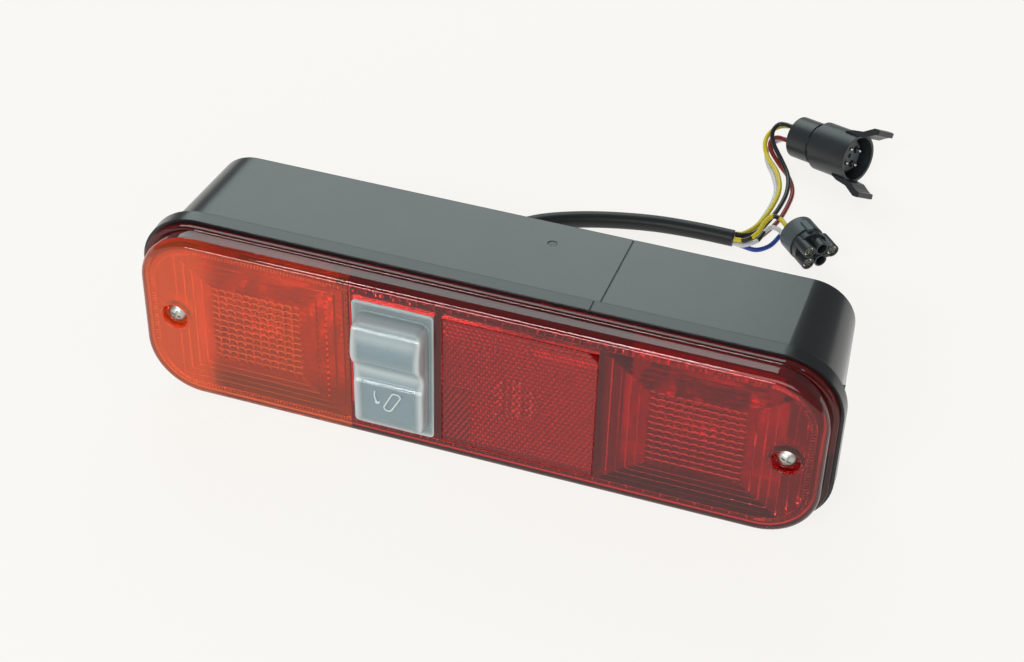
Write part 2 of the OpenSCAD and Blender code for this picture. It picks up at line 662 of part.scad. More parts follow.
// Sweeps a tube of n sides and radius r along a route, with a ring square to it at each point
function unit(v) = v / norm(v);
function heading(p, i) = unit(p[min(i + 1, len(p) - 1)] - p[max(i - 1, 0)]);
function side_of(t) = unit(cross(t, abs(t[2]) > 0.9 ? [1, 0, 0] : [0, 0, 1]));
module tube(p, r, n) {
    rings = [for (i = [0 : len(p) - 1]) let (t = heading(p, i), s = side_of(t), u = cross(s, t))
        for (k = [0 : n - 1]) p[i] + r * (cos(360 * k / n) * s + sin(360 * k / n) * u)];
    last = (len(p) - 1) * n;
    polyhedron(rings, concat([[for (k = [0 : n - 1]) k]], [[for (k = [n - 1 : -1 : 0]) last + k]],
        [for (i = [0 : len(p) - 2], k = [0 : n - 1])
            [i * n + k, (i + 1) * n + k, (i + 1) * n + (k + 1) % n, i * n + (k + 1) % n]]));
}

module wire(p, c) color(c) tube(p, wire_d / 2, 8);

module cable_sheath() color("#3a4241") tube(sheath_route, sheath_d / 2, 12);
module wire_yellow() wire(yellow_route, "#d8c41a");
module wire_white() wire(white_route, "#d8d8dc");
module wire_black() wire(black_route, "#1c1c1e");
module wire_red() wire(red_route, "#9a3030");
module wire_tracer_yellow() wire(tracer_yellow_route, "#d8c41a");
module wire_blue() wire(blue_route, "#2a4a9a");
module wire_tracer_white() wire(tracer_white_route, "#d8d8dc");

// Places for the two connectors: their own x runs from the wires to the mouth
module at_pin() translate(pin_at) rotate([0, -pin_rise, pin_turn]) rotate([pin_roll, 0, 0]) children();
module at_socket() translate(socket_at) rotate([0, 0, socket_turn]) children();

// Cylinder along x
module bar(x1, x2, y, z, r) translate([x1, y, z]) rotate([0, 90, 0]) cylinder(h = x2 - x1, r = r);

module pin_connector_shell() color("#2b3032") at_pin() difference() {
    union() {
        bar(0, tail_len, 0, 0, sleeve_r);
        bar(tail_len, tail_len + 3, 0, 0, sleeve_r - 0.5);
        bar(tail_len + 3, sleeve_len, 0, 0, collar_r);
        // two snap latches, above and below the mouth
        for (flip = [0, 1]) mirror([0, 0, flip]) latch();
    }
    bar(-1, 4, 0, 0, sleeve_r - 1.6);
    bar(3, tail_len + 4, 0, 0, sleeve_r - 4);
    bar(tail_len + 2, sleeve_len + 1, 0, 0, collar_r - 1.4);
}

// Tongue that leaves the collar and flares to a hook
module latch() translate([0, latch_w / 2, 0]) rotate([90, 0, 0]) linear_extrude(latch_w)
    polygon([[sleeve_len - 8, collar_r - 1], [sleeve_len, collar_r - 1.3], [sleeve_len + 4, collar_r - 0.8],
        [sleeve_len + 7, collar_r + 1], [sleeve_len + 9, collar_r + 2], [sleeve_len + 10.6, collar_r + 2.2],
        [sleeve_len + 10.8, collar_r + 4.4], [sleeve_len + 9.8, collar_r + 4.8], [sleeve_len + 7.6, collar_r + 4.8],
        [sleeve_len + 2, collar_r + 1.6], [sleeve_len - 4, collar_r + 0.6]]);

module pin_connector_insert() color("#4a5254") at_pin() difference() {
    face = sleeve_len - insert_back;
    union() {
        intersection() {
            bar(tail_len + 2.05, face, 0, 0, insert_r);
            six_flats(face);
        }
        bar(tail_len + 2.05, tail_len + 5, 0, 0, collar_r - 1.45);
    }
    for (y = [-pin_grid, pin_grid], z = [-pin_grid, pin_grid]) bar(face - 5, face + 1, y, z, 1.8);
    bar(face - 4, face + 1, 0, 0, 1.2);
    // key slots in the rim
    for (a = [60, 180, 300]) rotate([a, 0, 0]) span([face - 6, -1, insert_r - 1.4], [face + 1, 1, insert_r + 1]);
}

// Three slabs whose common part has six flats round the connector's axis
module six_flats(x2) intersection_for(a = [0, 60, 120]) rotate([a, 0, 0])
    span([tail_len, -flat_r, -insert_r - 1], [x2 + 1, flat_r, insert_r + 1]);

module connector_pins() color("#d8dad4") at_pin() for (y = [-pin_grid, pin_grid], z = [-pin_grid, pin_grid]) {
    bar(sleeve_len - insert_back - 5, sleeve_len - 3, y, z, 0.9);
    translate([sleeve_len - 3, y, z]) sphere(r = 0.9);
}

module pin_connector_seal() color("#7d8486") at_pin() bar(face_gap, 4, 0, 0, sleeve_r - 1.6);

module socket_connector_body() color("#1f2426") at_socket() difference() {
    union() {
        for (p = concat(contact_places, blank_places)) bar(cap_len + 0.05, plug_len, p[0], p[1], cavity_r);
        span([cap_len + 0.05, -half_pitch, -half_pitch], [plug_len - 1, fifth[0], half_pitch]);
        bar(5, cap_len + 4, hub_y, 0, hub_r);
    }
    for (p = concat(contact_places, blank_places)) bar(plug_len - 7, plug_len + 1, p[0], p[1], cavity_r - 0.7);
    bar(plug_len - 4, plug_len + 1, 0, 0, 0.9);
}

module socket_connector_cap() color("#3c4244") at_socket() difference() {
    union() {
        bar(0, cap_len, hub_y, 0, hub_r + 0.7);
        // key on the rim
        span([4, hub_y - 1.4, hub_r - 0.3], [cap_len + 2, hub_y + 1.4, hub_r + 1.6]);
    }
    bar(5, cap_len + 3, hub_y, 0, hub_r + 0.1);
    for (p = contact_places) bar(-1, 6, p[0], p[1], seal_r);
}

module socket_contacts() color("#c9a24a") at_socket() for (p = contact_places) difference() {
    bar(plug_len - 7, plug_len - 0.8, p[0], p[1], cavity_r - 0.75);
    bar(plug_len - 6, plug_len, p[0], p[1], cavity_r - 1.35);
}

module socket_connector_seal() color("#7d8486") at_socket() for (p = contact_places)
    bar(face_gap, 5, p[0], p[1], seal_r);

housing();
lens_gasket();
red_lens();
amber_lens();
reflex_plate();
switch_boot();
switch_rocker();
switch_body();
switch_terminals();
lens_screws();
lens_inserts();
light_baffle();
indicator_reflector();
indicator_bulb();
indicator_bulb_cap();
indicator_holder();
tail_reflector();
tail_bulb();
tail_bulb_cap();
tail_holder();
earth_strip();
fixing_inserts();
cable_gland();
cable_sheath();
wire_yellow();
wire_white();
wire_black();
wire_red();
wire_tracer_yellow();
wire_blue();
wire_tracer_white();
pin_connector_shell();
pin_connector_insert();
connector_pins();
pin_connector_seal();
socket_connector_body();
socket_connector_cap();
socket_contacts();
socket_connector_seal();
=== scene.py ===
# %% [markdown]
# # A tractor's rear light cluster
# A black moulded housing carries one long red lens with an amber cap at its left end, a rocker
# switch under a soft boot, a reflex plate, and a cable that ends in two small connectors.
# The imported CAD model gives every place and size. This script makes the looks around it.

# %% Frame and sizes
import math

import bpy
import numpy as np
from mathutils import Matrix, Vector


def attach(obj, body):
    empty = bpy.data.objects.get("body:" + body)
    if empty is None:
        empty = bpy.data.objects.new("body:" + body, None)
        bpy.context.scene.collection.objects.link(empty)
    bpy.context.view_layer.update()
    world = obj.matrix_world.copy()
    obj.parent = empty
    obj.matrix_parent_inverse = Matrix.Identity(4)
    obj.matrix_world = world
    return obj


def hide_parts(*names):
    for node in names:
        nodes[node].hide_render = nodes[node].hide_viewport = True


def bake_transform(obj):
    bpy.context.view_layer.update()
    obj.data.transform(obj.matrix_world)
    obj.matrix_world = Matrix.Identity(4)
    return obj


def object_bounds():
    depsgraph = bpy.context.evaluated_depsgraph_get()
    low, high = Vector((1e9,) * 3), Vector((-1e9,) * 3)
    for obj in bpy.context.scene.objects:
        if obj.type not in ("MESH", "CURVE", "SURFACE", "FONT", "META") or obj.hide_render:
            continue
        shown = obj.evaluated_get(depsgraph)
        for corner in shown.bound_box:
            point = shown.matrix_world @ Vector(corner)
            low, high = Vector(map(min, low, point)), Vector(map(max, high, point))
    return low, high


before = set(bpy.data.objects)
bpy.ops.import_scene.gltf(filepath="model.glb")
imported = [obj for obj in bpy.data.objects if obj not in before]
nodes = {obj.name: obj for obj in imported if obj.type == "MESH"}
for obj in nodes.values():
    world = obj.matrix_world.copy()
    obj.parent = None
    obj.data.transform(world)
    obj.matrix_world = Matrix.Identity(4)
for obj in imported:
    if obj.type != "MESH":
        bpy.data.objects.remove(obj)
cad_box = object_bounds()
MM = 0.001
ROOT, ROCKER = "cluster", "rocker"

# Lamp places: y counts back from the lens face, z from the lamp's middle, both in millimetres.
FACE_Y, MID_Z = -30.0, 42.0
LENS_W, LENS_H, LENS_R = 283.0, 79.0, 24.0
LIP_W, LIP_H, LIP_R = 287.2, 81.2, 24.6
LIP_FRONT, LIP_BACK = 9.0, 11.4
THICK, SHOULDER = 2.4, 3.6
CUT_X = -50.4
SCREW_X, OPTIC_X = 127.0, 91.3
FIELD_W, FIELD_H = 39.0, 37.0
PILLOWS_X, PILLOWS_Z = 11, 12
RING_X, RING_Z = 3.8, 2.9
SWITCH_X = -31.7
BOOT_W, BOOT_H, DOME_W, DOME_H, DOME_R = 34.0, 62.6, 30.4, 53.0, 4.5
REFLEX_X, REFLEX_W, REFLEX_CUT = 20.2, 63.0, 4.0
WELL_R, WELL_FLOOR, HOLE_R, POST_R, POST_END = 5.6, 3.5, 2.3, 6.8, 9.6
print("CAD box in metres:", [list(map(float, c)) for c in cad_box])

# %% [markdown]
# A mesh is only arrays: points, and for each face the numbers of its points. The helpers below put
# whole arrays into a mesh at once, and move lamp millimetres into the frame's metres in one place,
# so that every later formula can use the lamp's own measures.

# %% Mesh helpers
def to_frame(points):
    """Lamp millimetres to frame metres: add the lens face's y and the middle's z, times 0.001."""
    return (np.asarray(points, float) + [0.0, FACE_Y, MID_Z]) * MM


def link(obj, body):
    """Puts an object into the scene and on its body."""
    bpy.context.scene.collection.objects.link(obj)
    if body:
        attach(obj, body)
    return obj


def build(name, verts, groups, materials, body=ROOT, crease=35.0):
    """A mesh from points in metres and (faces, slot) groups; edges over crease stay sharp."""
    mesh = bpy.data.meshes.new(name)
    mesh.vertices.add(len(verts))
    mesh.vertices.foreach_set("co", np.asarray(verts, np.float32).ravel())
    loops = np.concatenate([np.asarray(f).ravel() for f, _ in groups])
    sizes = np.concatenate([np.full(len(f), np.shape(f)[1]) for f, _ in groups])
    mesh.loops.add(len(loops))
    mesh.loops.foreach_set("vertex_index", loops.astype(np.int32))
    mesh.polygons.add(len(sizes))
    mesh.polygons.foreach_set("loop_start", (np.cumsum(sizes) - sizes).astype(np.int32))
    slots = np.concatenate([np.full(len(f), s) for f, s in groups])
    mesh.polygons.foreach_set("material_index", slots.astype(np.int32))
    mesh.polygons.foreach_set("use_smooth", np.ones(len(sizes), bool))
    mesh.update(calc_edges=True)
    mesh.validate()
    for m in (materials if isinstance(materials, (list, tuple)) else [materials]):
        mesh.materials.append(m)
    mesh.set_sharp_from_angle(angle=math.radians(crease))
    return link(bpy.data.objects.new(name, mesh), body)


def quads(rows, cols, wrap=False):
    """Faces of a rows by cols grid of points; wrap joins the last column to the first."""
    i, j = np.meshgrid(np.arange(rows - 1), np.arange(cols if wrap else cols - 1), indexing="ij")
    k = (j + 1) % cols
    near, far = i * cols, (i + 1) * cols
    return np.stack([near + j, near + k, far + k, far + j], -1).reshape(-1, 4)


class Skin:
    """Collects the surfaces of one closed piece, each turned so that it faces outwards."""

    def __init__(self):
        self.points, self.groups, self.count = [], [], 0

    def add(self, points, faces, slot=0, turn=True):
        """Adds one surface; turn reverses the order of each face's corners."""
        faces = np.asarray(faces) + self.count
        points = np.asarray(points, float).reshape(-1, 3)
        self.points.append(points)
        self.groups.append((faces[:, ::-1] if turn else faces, slot))
        self.count += len(points)

    def make(self, name, materials, **kw):
        return build(name, to_frame(np.concatenate(self.points)), self.groups, materials, **kw)


def smooth_path(points, per=6):
    """Catmull-Rom curve: each span is the cubic set by its four nearest points."""
    p = np.asarray(points, float)
    q = np.vstack([2 * p[0] - p[1], p, 2 * p[-1] - p[-2]])
    a, b, c, d = (q[k:len(q) - 3 + k, None] for k in range(4))
    t = np.linspace(0, 1, per, endpoint=False)[None, :, None]
    square, cube = 2 * a - 5 * b + 4 * c - d, 3 * b - 3 * c + d - a
    spans = 0.5 * (2 * b + (c - a) * t + square * t ** 2 + cube * t ** 3)
    return np.vstack([spans.reshape(-1, p.shape[1]), p[-1:]])


def tube(name, path, radius, material, body=ROOT, detail=4):
    """A round bar of the given radius along a path in metres, as a curve object."""
    curve = bpy.data.curves.new(name, "CURVE")
    curve.dimensions = "3D"
    spline = curve.splines.new("POLY")
    spline.points.add(len(path) - 1)
    spline.points.foreach_set("co", np.hstack([path, np.ones((len(path), 1))]).ravel())
    spline.use_smooth = True
    curve.bevel_depth = radius
    curve.bevel_resolution = detail
    curve.use_fill_caps = True
    curve.materials.append(material)
    return link(bpy.data.objects.new(name, curve), body)


# %% [markdown]
# Colours are written as the eye sees them and turned into linear light by one function. One small
# function adds any shader node with its settings and links. Moulded plastic, rubber and metal share
# a recipe: a fine grain that bends the light a little, a slow change in gloss from the mould, and
# edges that a bevel node rounds, because no real moulding has a knife edge.

# %% Material helpers
def rgb(code):
    """sRGB hex to linear: c/12.92 below 0.04045, else ((c + 0.055)/1.055) to the power 2.4."""
    c = np.array([int(code[i:i + 2], 16) for i in (1, 3, 5)]) / 255
    lin = np.where(c <= 0.04045, c / 12.92, ((c + 0.055) / 1.055) ** 2.4)
    return (*lin.tolist(), 1.0)


def node(tree, kind, inputs=None, **settings):
    """Adds a shader node; inputs are constants or output sockets, settings are its own fields."""
    made = tree.nodes.new(kind)
    for key, value in settings.items():
        setattr(made, key, value)
    for key, value in (inputs or {}).items():
        if isinstance(value, bpy.types.NodeSocket):
            tree.links.new(value, made.inputs[key])
        else:
            made.inputs[key].default_value = value
    return made


def new_material(name):
    """An empty material: returns it, its tree, its output and its Object coordinates."""
    material = bpy.data.materials.new(name)
    material.use_nodes = True
    tree = material.node_tree
    tree.nodes.clear()
    out = tree.nodes.new("ShaderNodeOutputMaterial")
    return material, tree, out, node(tree, "ShaderNodeTexCoord").outputs["Object"]


def moulded(name, colour, rough, grain=2500.0, bump=0.04, edge=0.0, patches=0.08, metal=0.0,
            lift=1.12):
    """Opaque surface: grain bump, a slow change of tone and gloss, and edges rounded by edge mm."""
    material, tree, out, place = new_material(name)
    fine = node(tree, "ShaderNodeTexNoise", {"Vector": place, "Scale": grain, "Detail": 2.0})
    broad = node(tree, "ShaderNodeTexNoise", {"Vector": place, "Scale": 45.0, "Detail": 3.0})
    relief = node(tree, "ShaderNodeBump", {
        "Height": fine.outputs["Fac"], "Strength": bump, "Distance": 0.0002})
    if edge:
        rounded = node(tree, "ShaderNodeBevel", {"Radius": edge * MM}, samples=3)
        tree.links.new(rounded.outputs["Normal"], relief.inputs["Normal"])
    gloss = node(tree, "ShaderNodeMapRange", {
        "Value": broad.outputs["Fac"], "From Min": 0.3, "From Max": 0.7,
        "To Min": rough * (1 - patches), "To Max": rough * (1 + patches)})
    base = rgb(colour)
    pale = tuple(min(1.0, c * lift + 0.002) for c in base[:3]) + (1.0,)
    tone = node(tree, "ShaderNodeMix", {0: broad.outputs["Fac"], 6: base, 7: pale},
                data_type="RGBA")
    shader = node(tree, "ShaderNodeBsdfPrincipled", {
        "Base Color": tone.outputs[2], "Roughness": gloss.outputs["Result"], "Metallic": metal,
        "Normal": relief.outputs["Normal"]})
    tree.links.new(shader.outputs["BSDF"], out.inputs["Surface"])
    return material


DEEPEST = 0.12


def set_share(obj, name, values):
    """Stores one number per vertex under a name, for a material to read."""
    made = obj.data.attributes.new(name, "FLOAT", "POINT")
    per_vertex = np.broadcast_to(values, len(obj.data.vertices))
    made.data.foreach_set("value", per_vertex.astype(np.float32))


def lamp_points(obj):
    """The x, y and z of an object's vertices in lamp millimetres."""
    co = np.empty(3 * len(obj.data.vertices), np.float32)
    obj.data.vertices.foreach_get("co", co)
    return (co.reshape(-1, 3) / MM - [0.0, FACE_Y, MID_Z]).T


def dyed(name, tint, rough=0.03, ior=1.49, flow=0.03):
    """Dyed clear plastic: 'frost' is the share that scatters, 'deep' how far its dye darkens."""
    material, tree, out, place = new_material(name)
    thick = node(tree, "ShaderNodeAttribute", attribute_name="deep").outputs["Fac"]
    dark = tuple(DEEPEST * c for c in tint[:3]) + (1.0,)
    dye = node(tree, "ShaderNodeMix", {0: thick, 6: tint, 7: dark}, data_type="RGBA").outputs[2]
    waves = node(tree, "ShaderNodeTexNoise", {"Vector": place, "Scale": 55.0, "Detail": 2.0})
    relief = node(tree, "ShaderNodeBump", {
        "Height": waves.outputs["Fac"], "Strength": flow, "Distance": 0.0006})
    frost = node(tree, "ShaderNodeAttribute", attribute_name="frost").outputs["Fac"]
    clear = node(tree, "ShaderNodeMath", {0: 1.0, 1: frost}, operation="SUBTRACT")
    body = node(tree, "ShaderNodeBsdfPrincipled", {
        "Base Color": dye, "Roughness": rough, "IOR": ior,
        "Transmission Weight": clear.outputs["Value"], "Normal": relief.outputs["Normal"]})
    passing = node(tree, "ShaderNodeBsdfTransparent", {"Color": tint})
    ray = node(tree, "ShaderNodeLightPath")
    mix = node(tree, "ShaderNodeMixShader", {
        0: ray.outputs["Is Shadow Ray"], 1: body.outputs["BSDF"], 2: passing.outputs["BSDF"]})
    tree.links.new(mix.outputs["Shader"], out.inputs["Surface"])
    return material


# %% [markdown]
# The camera stands to the right of the lamp and well above it, as in the photograph. Its back
# vector comes from an azimuth and an elevation, and it is rolled a little about its own axis.

# %% Camera
def set_camera(azimuth=17.723, elevation=39.542, roll=1.537, distance=791.47,
               aim=(17.102, 0.0, 33.423)):
    """Back vector (sin a cos e, -cos a cos e, sin e); right and up are then turned by the roll."""
    a, e, r = (math.radians(v) for v in (azimuth, elevation, roll))
    back = np.array([math.sin(a) * math.cos(e), -math.cos(a) * math.cos(e), math.sin(e)])
    level = np.array([math.cos(a), math.sin(a), 0.0])
    up = np.cross(back, level)
    pose = np.eye(4)
    pose[:3, 0] = math.cos(r) * level + math.sin(r) * up
    pose[:3, 1] = -math.sin(r) * level + math.cos(r) * up
    pose[:3, 2] = back
    pose[:3, 3] = to_frame(np.array(aim) + back * distance)
    data = bpy.data.cameras.new("camera")
    data.lens, data.sensor_width, data.sensor_fit = 73.19, 36.0, "HORIZONTAL"
    data.clip_start, data.clip_end = 0.01, 30.0
    obj = bpy.data.objects.new("camera", data)
    obj.matrix_world = Matrix(pose.tolist())
    bpy.context.scene.collection.objects.link(obj)
    bpy.context.scene.camera = obj


set_camera()

# %% [markdown]
# The cable leaves a gland at the back, sags to the table and runs along it. Where its sheath ends,
# seven wires part: four to the pin connector and three to the socket connector. Two of the three
# carry short dark bands, which tell them from the plain wires of the same colour.

# %% Cable and wires
ROUTES = {
    "sheath": [[-46, 47, 30], [-46, 60, 29.4], [-45.6, 70, 26], [-44.8, 80, 19.5],
        [-43.6, 90, 12.6], [-41.6, 100, 7.4], [-38, 111, 4.4], [-32.4, 122, 4], [-23, 131.4, 4],
        [-9, 139, 4], [8, 145, 4], [28, 149.4, 4], [48, 151, 4], [65, 151, 4]],
    "yellow": [[65.8, 153.1, 5.2], [68.8, 155.9, 4.4], [73, 166, 3.2], [76, 183, 2.9],
        [76, 198, 3.1], [71.6, 211, 3.3], [64.4, 221.6, 3.8], [61.2, 229.6, 5.8], [62, 236.4, 7.6],
        [65.6, 241, 9], [72.1, 241.5, 10.4], [79.2, 237.7, 11.7]],
    "white": [[65.8, 153.1, 2.8], [69, 155.6, 1.8], [72, 166, 1.15], [74.6, 183, 1.15],
        [74.6, 197, 1.15], [70.6, 209.4, 1.15], [65.4, 219.4, 1.15], [62.8, 228, 1.4],
        [64, 234.4, 2.4], [67.2, 238, 3.4], [71.3, 238, 4.4], [78.4, 234.2, 5.7]],
    "black": [[65.8, 151, 6.4], [69.6, 152.6, 5.8], [73.6, 158, 4.4], [76.6, 169, 3],
        [79.2, 183, 2.9], [79.8, 197, 2.9], [77.4, 209.4, 3.4], [72, 218.6, 5.2], [66.2, 226.2, 8],
        [63.8, 232, 10.8], [65.4, 236.2, 13], [69.1, 236.3, 14], [75.9, 232.6, 15.2]],
    "red": [[65.8, 151, 4], [69.4, 152, 3.4], [74, 155.6, 1.8], [77.4, 164, 1.15], [81, 176, 1.15],
        [82.4, 190, 1.15], [81.8, 201, 1.15], [77.6, 211.4, 1.15], [71.2, 219, 2.2],
        [65.4, 225.7, 4.5], [63.7, 230.6, 6.5], [66.6, 233.4, 7.7], [75.1, 229.1, 9.2]],
    "tracer_yellow": [[65.8, 148.9, 5.2], [71, 149, 6], [75.4, 153, 8], [77, 159, 10.2],
        [79.6, 163.2, 11.8], [83.5, 162.5, 12], [86.5, 159.2, 12], [89.4, 156.1, 12]],
    "blue": [[65.8, 151, 1.6], [70, 150.4, 1.15], [76.4, 149.8, 1.15], [81.6, 155, 1.2],
        [84.8, 162.6, 2.8], [88.6, 169, 6.4], [93.4, 169.6, 9], [98.4, 164.3, 9.3]],
    "tracer_white": [[65.8, 148.9, 2.8], [70.6, 148.4, 3.4], [75.8, 152.4, 4.5], [77.4, 158.8, 5],
        [79.8, 163.2, 5.6], [83.5, 162.5, 5.6], [86.5, 159.2, 5.6], [89.4, 156.1, 5.6]],
}
SHEATH_R, WIRE_R = 0.0039, 0.0011
sheath_mat = moulded("pvc_sheath", "#121515", 0.44, grain=1400.0, bump=0.05)
WIRE_COLOURS = {"yellow": "#D8C31B", "white": "#D3D4D8", "black": "#1A1A1C", "red": "#8A2526",
                "blue": "#22429A"}
WIRE_MATS = {key: moulded("pvc_wire_" + key, code, 0.34, grain=1800.0, bump=0.03)
             for key, code in WIRE_COLOURS.items()}


def wire_bands(name, path, places):
    """Short dark sleeves on a wire, from and to given shares of its points."""
    cuts = [path[int(a * len(path)):int(b * len(path)) + 1] for a, b in places]
    return [tube("%s_band_%d" % (name, i + 1), cut, WIRE_R * 1.04, WIRE_MATS["black"], detail=3)
            for i, cut in enumerate(cuts)]


def lay_cord(name, cad_node, radius, material, bands=()):
    """One cord: a smooth curve through its route, kept inside the CAD box, with any dark bands."""
    low, high = (np.array(corner) for corner in cad_box)
    path = np.clip(smooth_path(np.array(ROUTES[name]) * MM), low + radius, high - radius)
    obj = tube("cord_" + name, path, radius, material, detail=6 if radius > 0.002 else 4)
    extra = wire_bands(name, path, bands)
    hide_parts(cad_node)


lay_cord("sheath", "cable_sheath", SHEATH_R, sheath_mat)
for key in ("yellow", "white", "black", "red"):
    lay_cord(key, "wire_" + key, WIRE_R, WIRE_MATS[key])
lay_cord("tracer_yellow", "wire_tracer_yellow", WIRE_R, WIRE_MATS["yellow"],
         [(0.1, 0.22), (0.6, 0.7)])
lay_cord("blue", "wire_blue", WIRE_R, WIRE_MATS["blue"])
lay_cord("tracer_white", "wire_tracer_white", WIRE_R, WIRE_MATS["white"],
         [(0.3, 0.42)])

# %% [markdown]
# Each CAD node that stays gets the finish of the real thing. The housing is glass-filled nylon,
# shot in a polished mould: near black, and glossy enough to mirror a soft light as grey. The
# reflectors are lacquered aluminium on plastic, satin rather than a mirror. Terminals are plain
# brass, which looks warm; contacts are tinned, which looks pale.

# %% Materials of the CAD nodes
housing_mat = moulded("nylon_housing", "#14181A", 0.23, grain=5200.0, bump=0.03, edge=0.6,
                      patches=0.05, lift=1.05)
nylon_mat = moulded("nylon_black", "#17191A", 0.40, grain=3000.0, bump=0.05, edge=0.3)
shell_mat = moulded("nylon_connector", "#262B2D", 0.36, grain=2600.0, bump=0.08, edge=0.5)
insert_mat = moulded("pbt_insert", "#4C5557", 0.42, grain=2400.0, bump=0.06, edge=0.3)
white_mat = moulded("abs_white", "#D9DBD6", 0.45, edge=0.3)
rubber_mat = moulded("epdm_rubber", "#0E1010", 0.6, grain=1800.0, bump=0.08, edge=0.4)
seal_mat = moulded("silicone_seal", "#747B7D", 0.55, edge=0.3)
rocker_mat = moulded("abs_rocker", "#5C7784", 0.42, grain=1800.0, bump=0.06, edge=0.8)
steel_mat = moulded("steel_screw", "#B4B5AF", 0.34, grain=1500.0, bump=0.12, edge=0.25, metal=1.0)
plate_mat = moulded("steel_plated", "#9A9EA0", 0.30, grain=900.0, bump=0.05, edge=0.3, metal=1.0)
foil_mat = moulded("aluminium_lacquered", "#B4B6B7", 0.14, grain=700.0, bump=0.03, edge=0.2,
                   metal=0.85)
brass_mat = moulded("brass", "#B58E45", 0.28, grain=1100.0, bump=0.05, edge=0.2, metal=1.0)
tin_mat = moulded("brass_tinned", "#D4D5D0", 0.22, grain=1100.0, bump=0.03, metal=1.0)
glass_mat = dyed("bulb_glass", (0.97, 0.98, 0.98, 1), rough=0.0, ior=1.47, flow=0.0)
NODE_MATS = {
    "housing": housing_mat, "lens_gasket": rubber_mat, "switch_rocker": rocker_mat,
    "switch_body": nylon_mat, "switch_terminals": brass_mat, "lens_screws": steel_mat,
    "lens_inserts": brass_mat, "light_baffle": white_mat, "indicator_reflector": foil_mat,
    "tail_reflector": foil_mat, "indicator_bulb": glass_mat, "tail_bulb": glass_mat,
    "indicator_bulb_cap": brass_mat, "tail_bulb_cap": brass_mat, "indicator_holder": plate_mat,
    "tail_holder": plate_mat, "earth_strip": brass_mat, "fixing_inserts": brass_mat,
    "cable_gland": rubber_mat, "pin_connector_shell": shell_mat,
    "pin_connector_insert": insert_mat, "connector_pins": tin_mat, "pin_connector_seal": seal_mat,
    "socket_connector_body": shell_mat, "socket_connector_cap": insert_mat,
    "socket_contacts": tin_mat, "socket_connector_seal": seal_mat}
for name, material in NODE_MATS.items():
    mesh = nodes[name].data
    mesh.materials.clear()
    mesh.materials.append(material)
print("finished", len(NODE_MATS), "CAD nodes")

# %% [markdown]
# Both lenses are thin acrylic shells with a round shoulder. Their outline is a rounded rectangle,
# and every ring of the shell is that outline moved in by some distance and set at some depth. The
# flat of the face and the optics behind it are fine grids, trimmed to the same outline.

# %% Lens outlines and grids
ARC, STRAIGHT = 28, 12
RED_COLUMNS = 7 * STRAIGHT + 2 * ARC


def outline(w, h, r, fine=1):
    """Points and outward normals round a rounded rectangle, clockwise from the amber cap's edge."""
    cx, cz = w / 2 - r, h / 2 - r
    pts, nrm = [], []

    def line(a, b, n, count):
        t = np.arange(count * fine)[:, None] / (count * fine)
        pts.append(np.array(a) + (np.array(b) - np.array(a)) * t)
        nrm.append(np.repeat([n], count * fine, axis=0))

    def arc(x, z, start):
        ang = np.radians(start - 90 * np.arange(ARC * fine) / (ARC * fine))
        d = np.stack([np.cos(ang), np.sin(ang)], -1)
        pts.append([x, z] + r * d)
        nrm.append(d)

    line((CUT_X, h / 2), (cx, h / 2), (0, 1), 3 * STRAIGHT)
    arc(cx, cz, 90)
    line((w / 2, cz), (w / 2, -cz), (1, 0), STRAIGHT)
    arc(cx, -cz, 0)
    line((cx, -h / 2), (CUT_X, -h / 2), (0, -1), 3 * STRAIGHT)
    line((CUT_X, -h / 2), (-cx, -h / 2), (0, -1), 2 * STRAIGHT)
    arc(-cx, -cz, -90)
    line((-w / 2, -cz), (-w / 2, cz), (-1, 0), STRAIGHT)
    arc(-cx, cz, 180)
    line((-cx, h / 2), (CUT_X, h / 2), (0, 1), 2 * STRAIGHT)
    return np.vstack(pts), np.vstack(nrm)


def rings(profile, size, fine=1):
    """One ring per (inset, depth): each outline point moved in along its normal by the inset."""
    p, n = outline(*size, fine)
    moved = [(p - n * np.reshape(e, (-1, 1)), np.broadcast_to(y, len(p))) for e, y in profile]
    return np.array([np.stack([q[:, 0], y, q[:, 1]], -1) for q, y in moved])


def strip(skin, bands, side=None, fine=1, turn=True):
    """Adds rings as a band of quads: the whole way round, or only the red or the amber side."""
    cut = RED_COLUMNS * fine
    if side == "red":
        bands = bands[:, :cut + 1]
    elif side == "amber":
        bands = np.concatenate([bands[:, cut:], bands[:, :1]], axis=1)
    skin.add(bands, quads(*bands.shape[:2], wrap=side is None), turn=turn)


def from_edge(x, z, w, h, r):
    """Signed distance of points from a rounded rectangle, below zero inside it."""
    qx, qz = np.abs(x) - (w / 2 - r), np.abs(z) - (h / 2 - r)
    return np.hypot(np.maximum(qx, 0), np.maximum(qz, 0)) + np.minimum(np.maximum(qx, qz), 0) - r


def pull_in(x, z, w, h, r):
    """Moves points that lie outside a rounded rectangle onto its edge."""
    cx, cz = np.clip(x, r - w / 2, w / 2 - r), np.clip(z, r - h / 2, h / 2 - r)
    k = np.minimum(1.0, r / np.maximum(np.hypot(x - cx, z - cz), 1e-9))
    return cx + (x - cx) * k, cz + (z - cz) * k


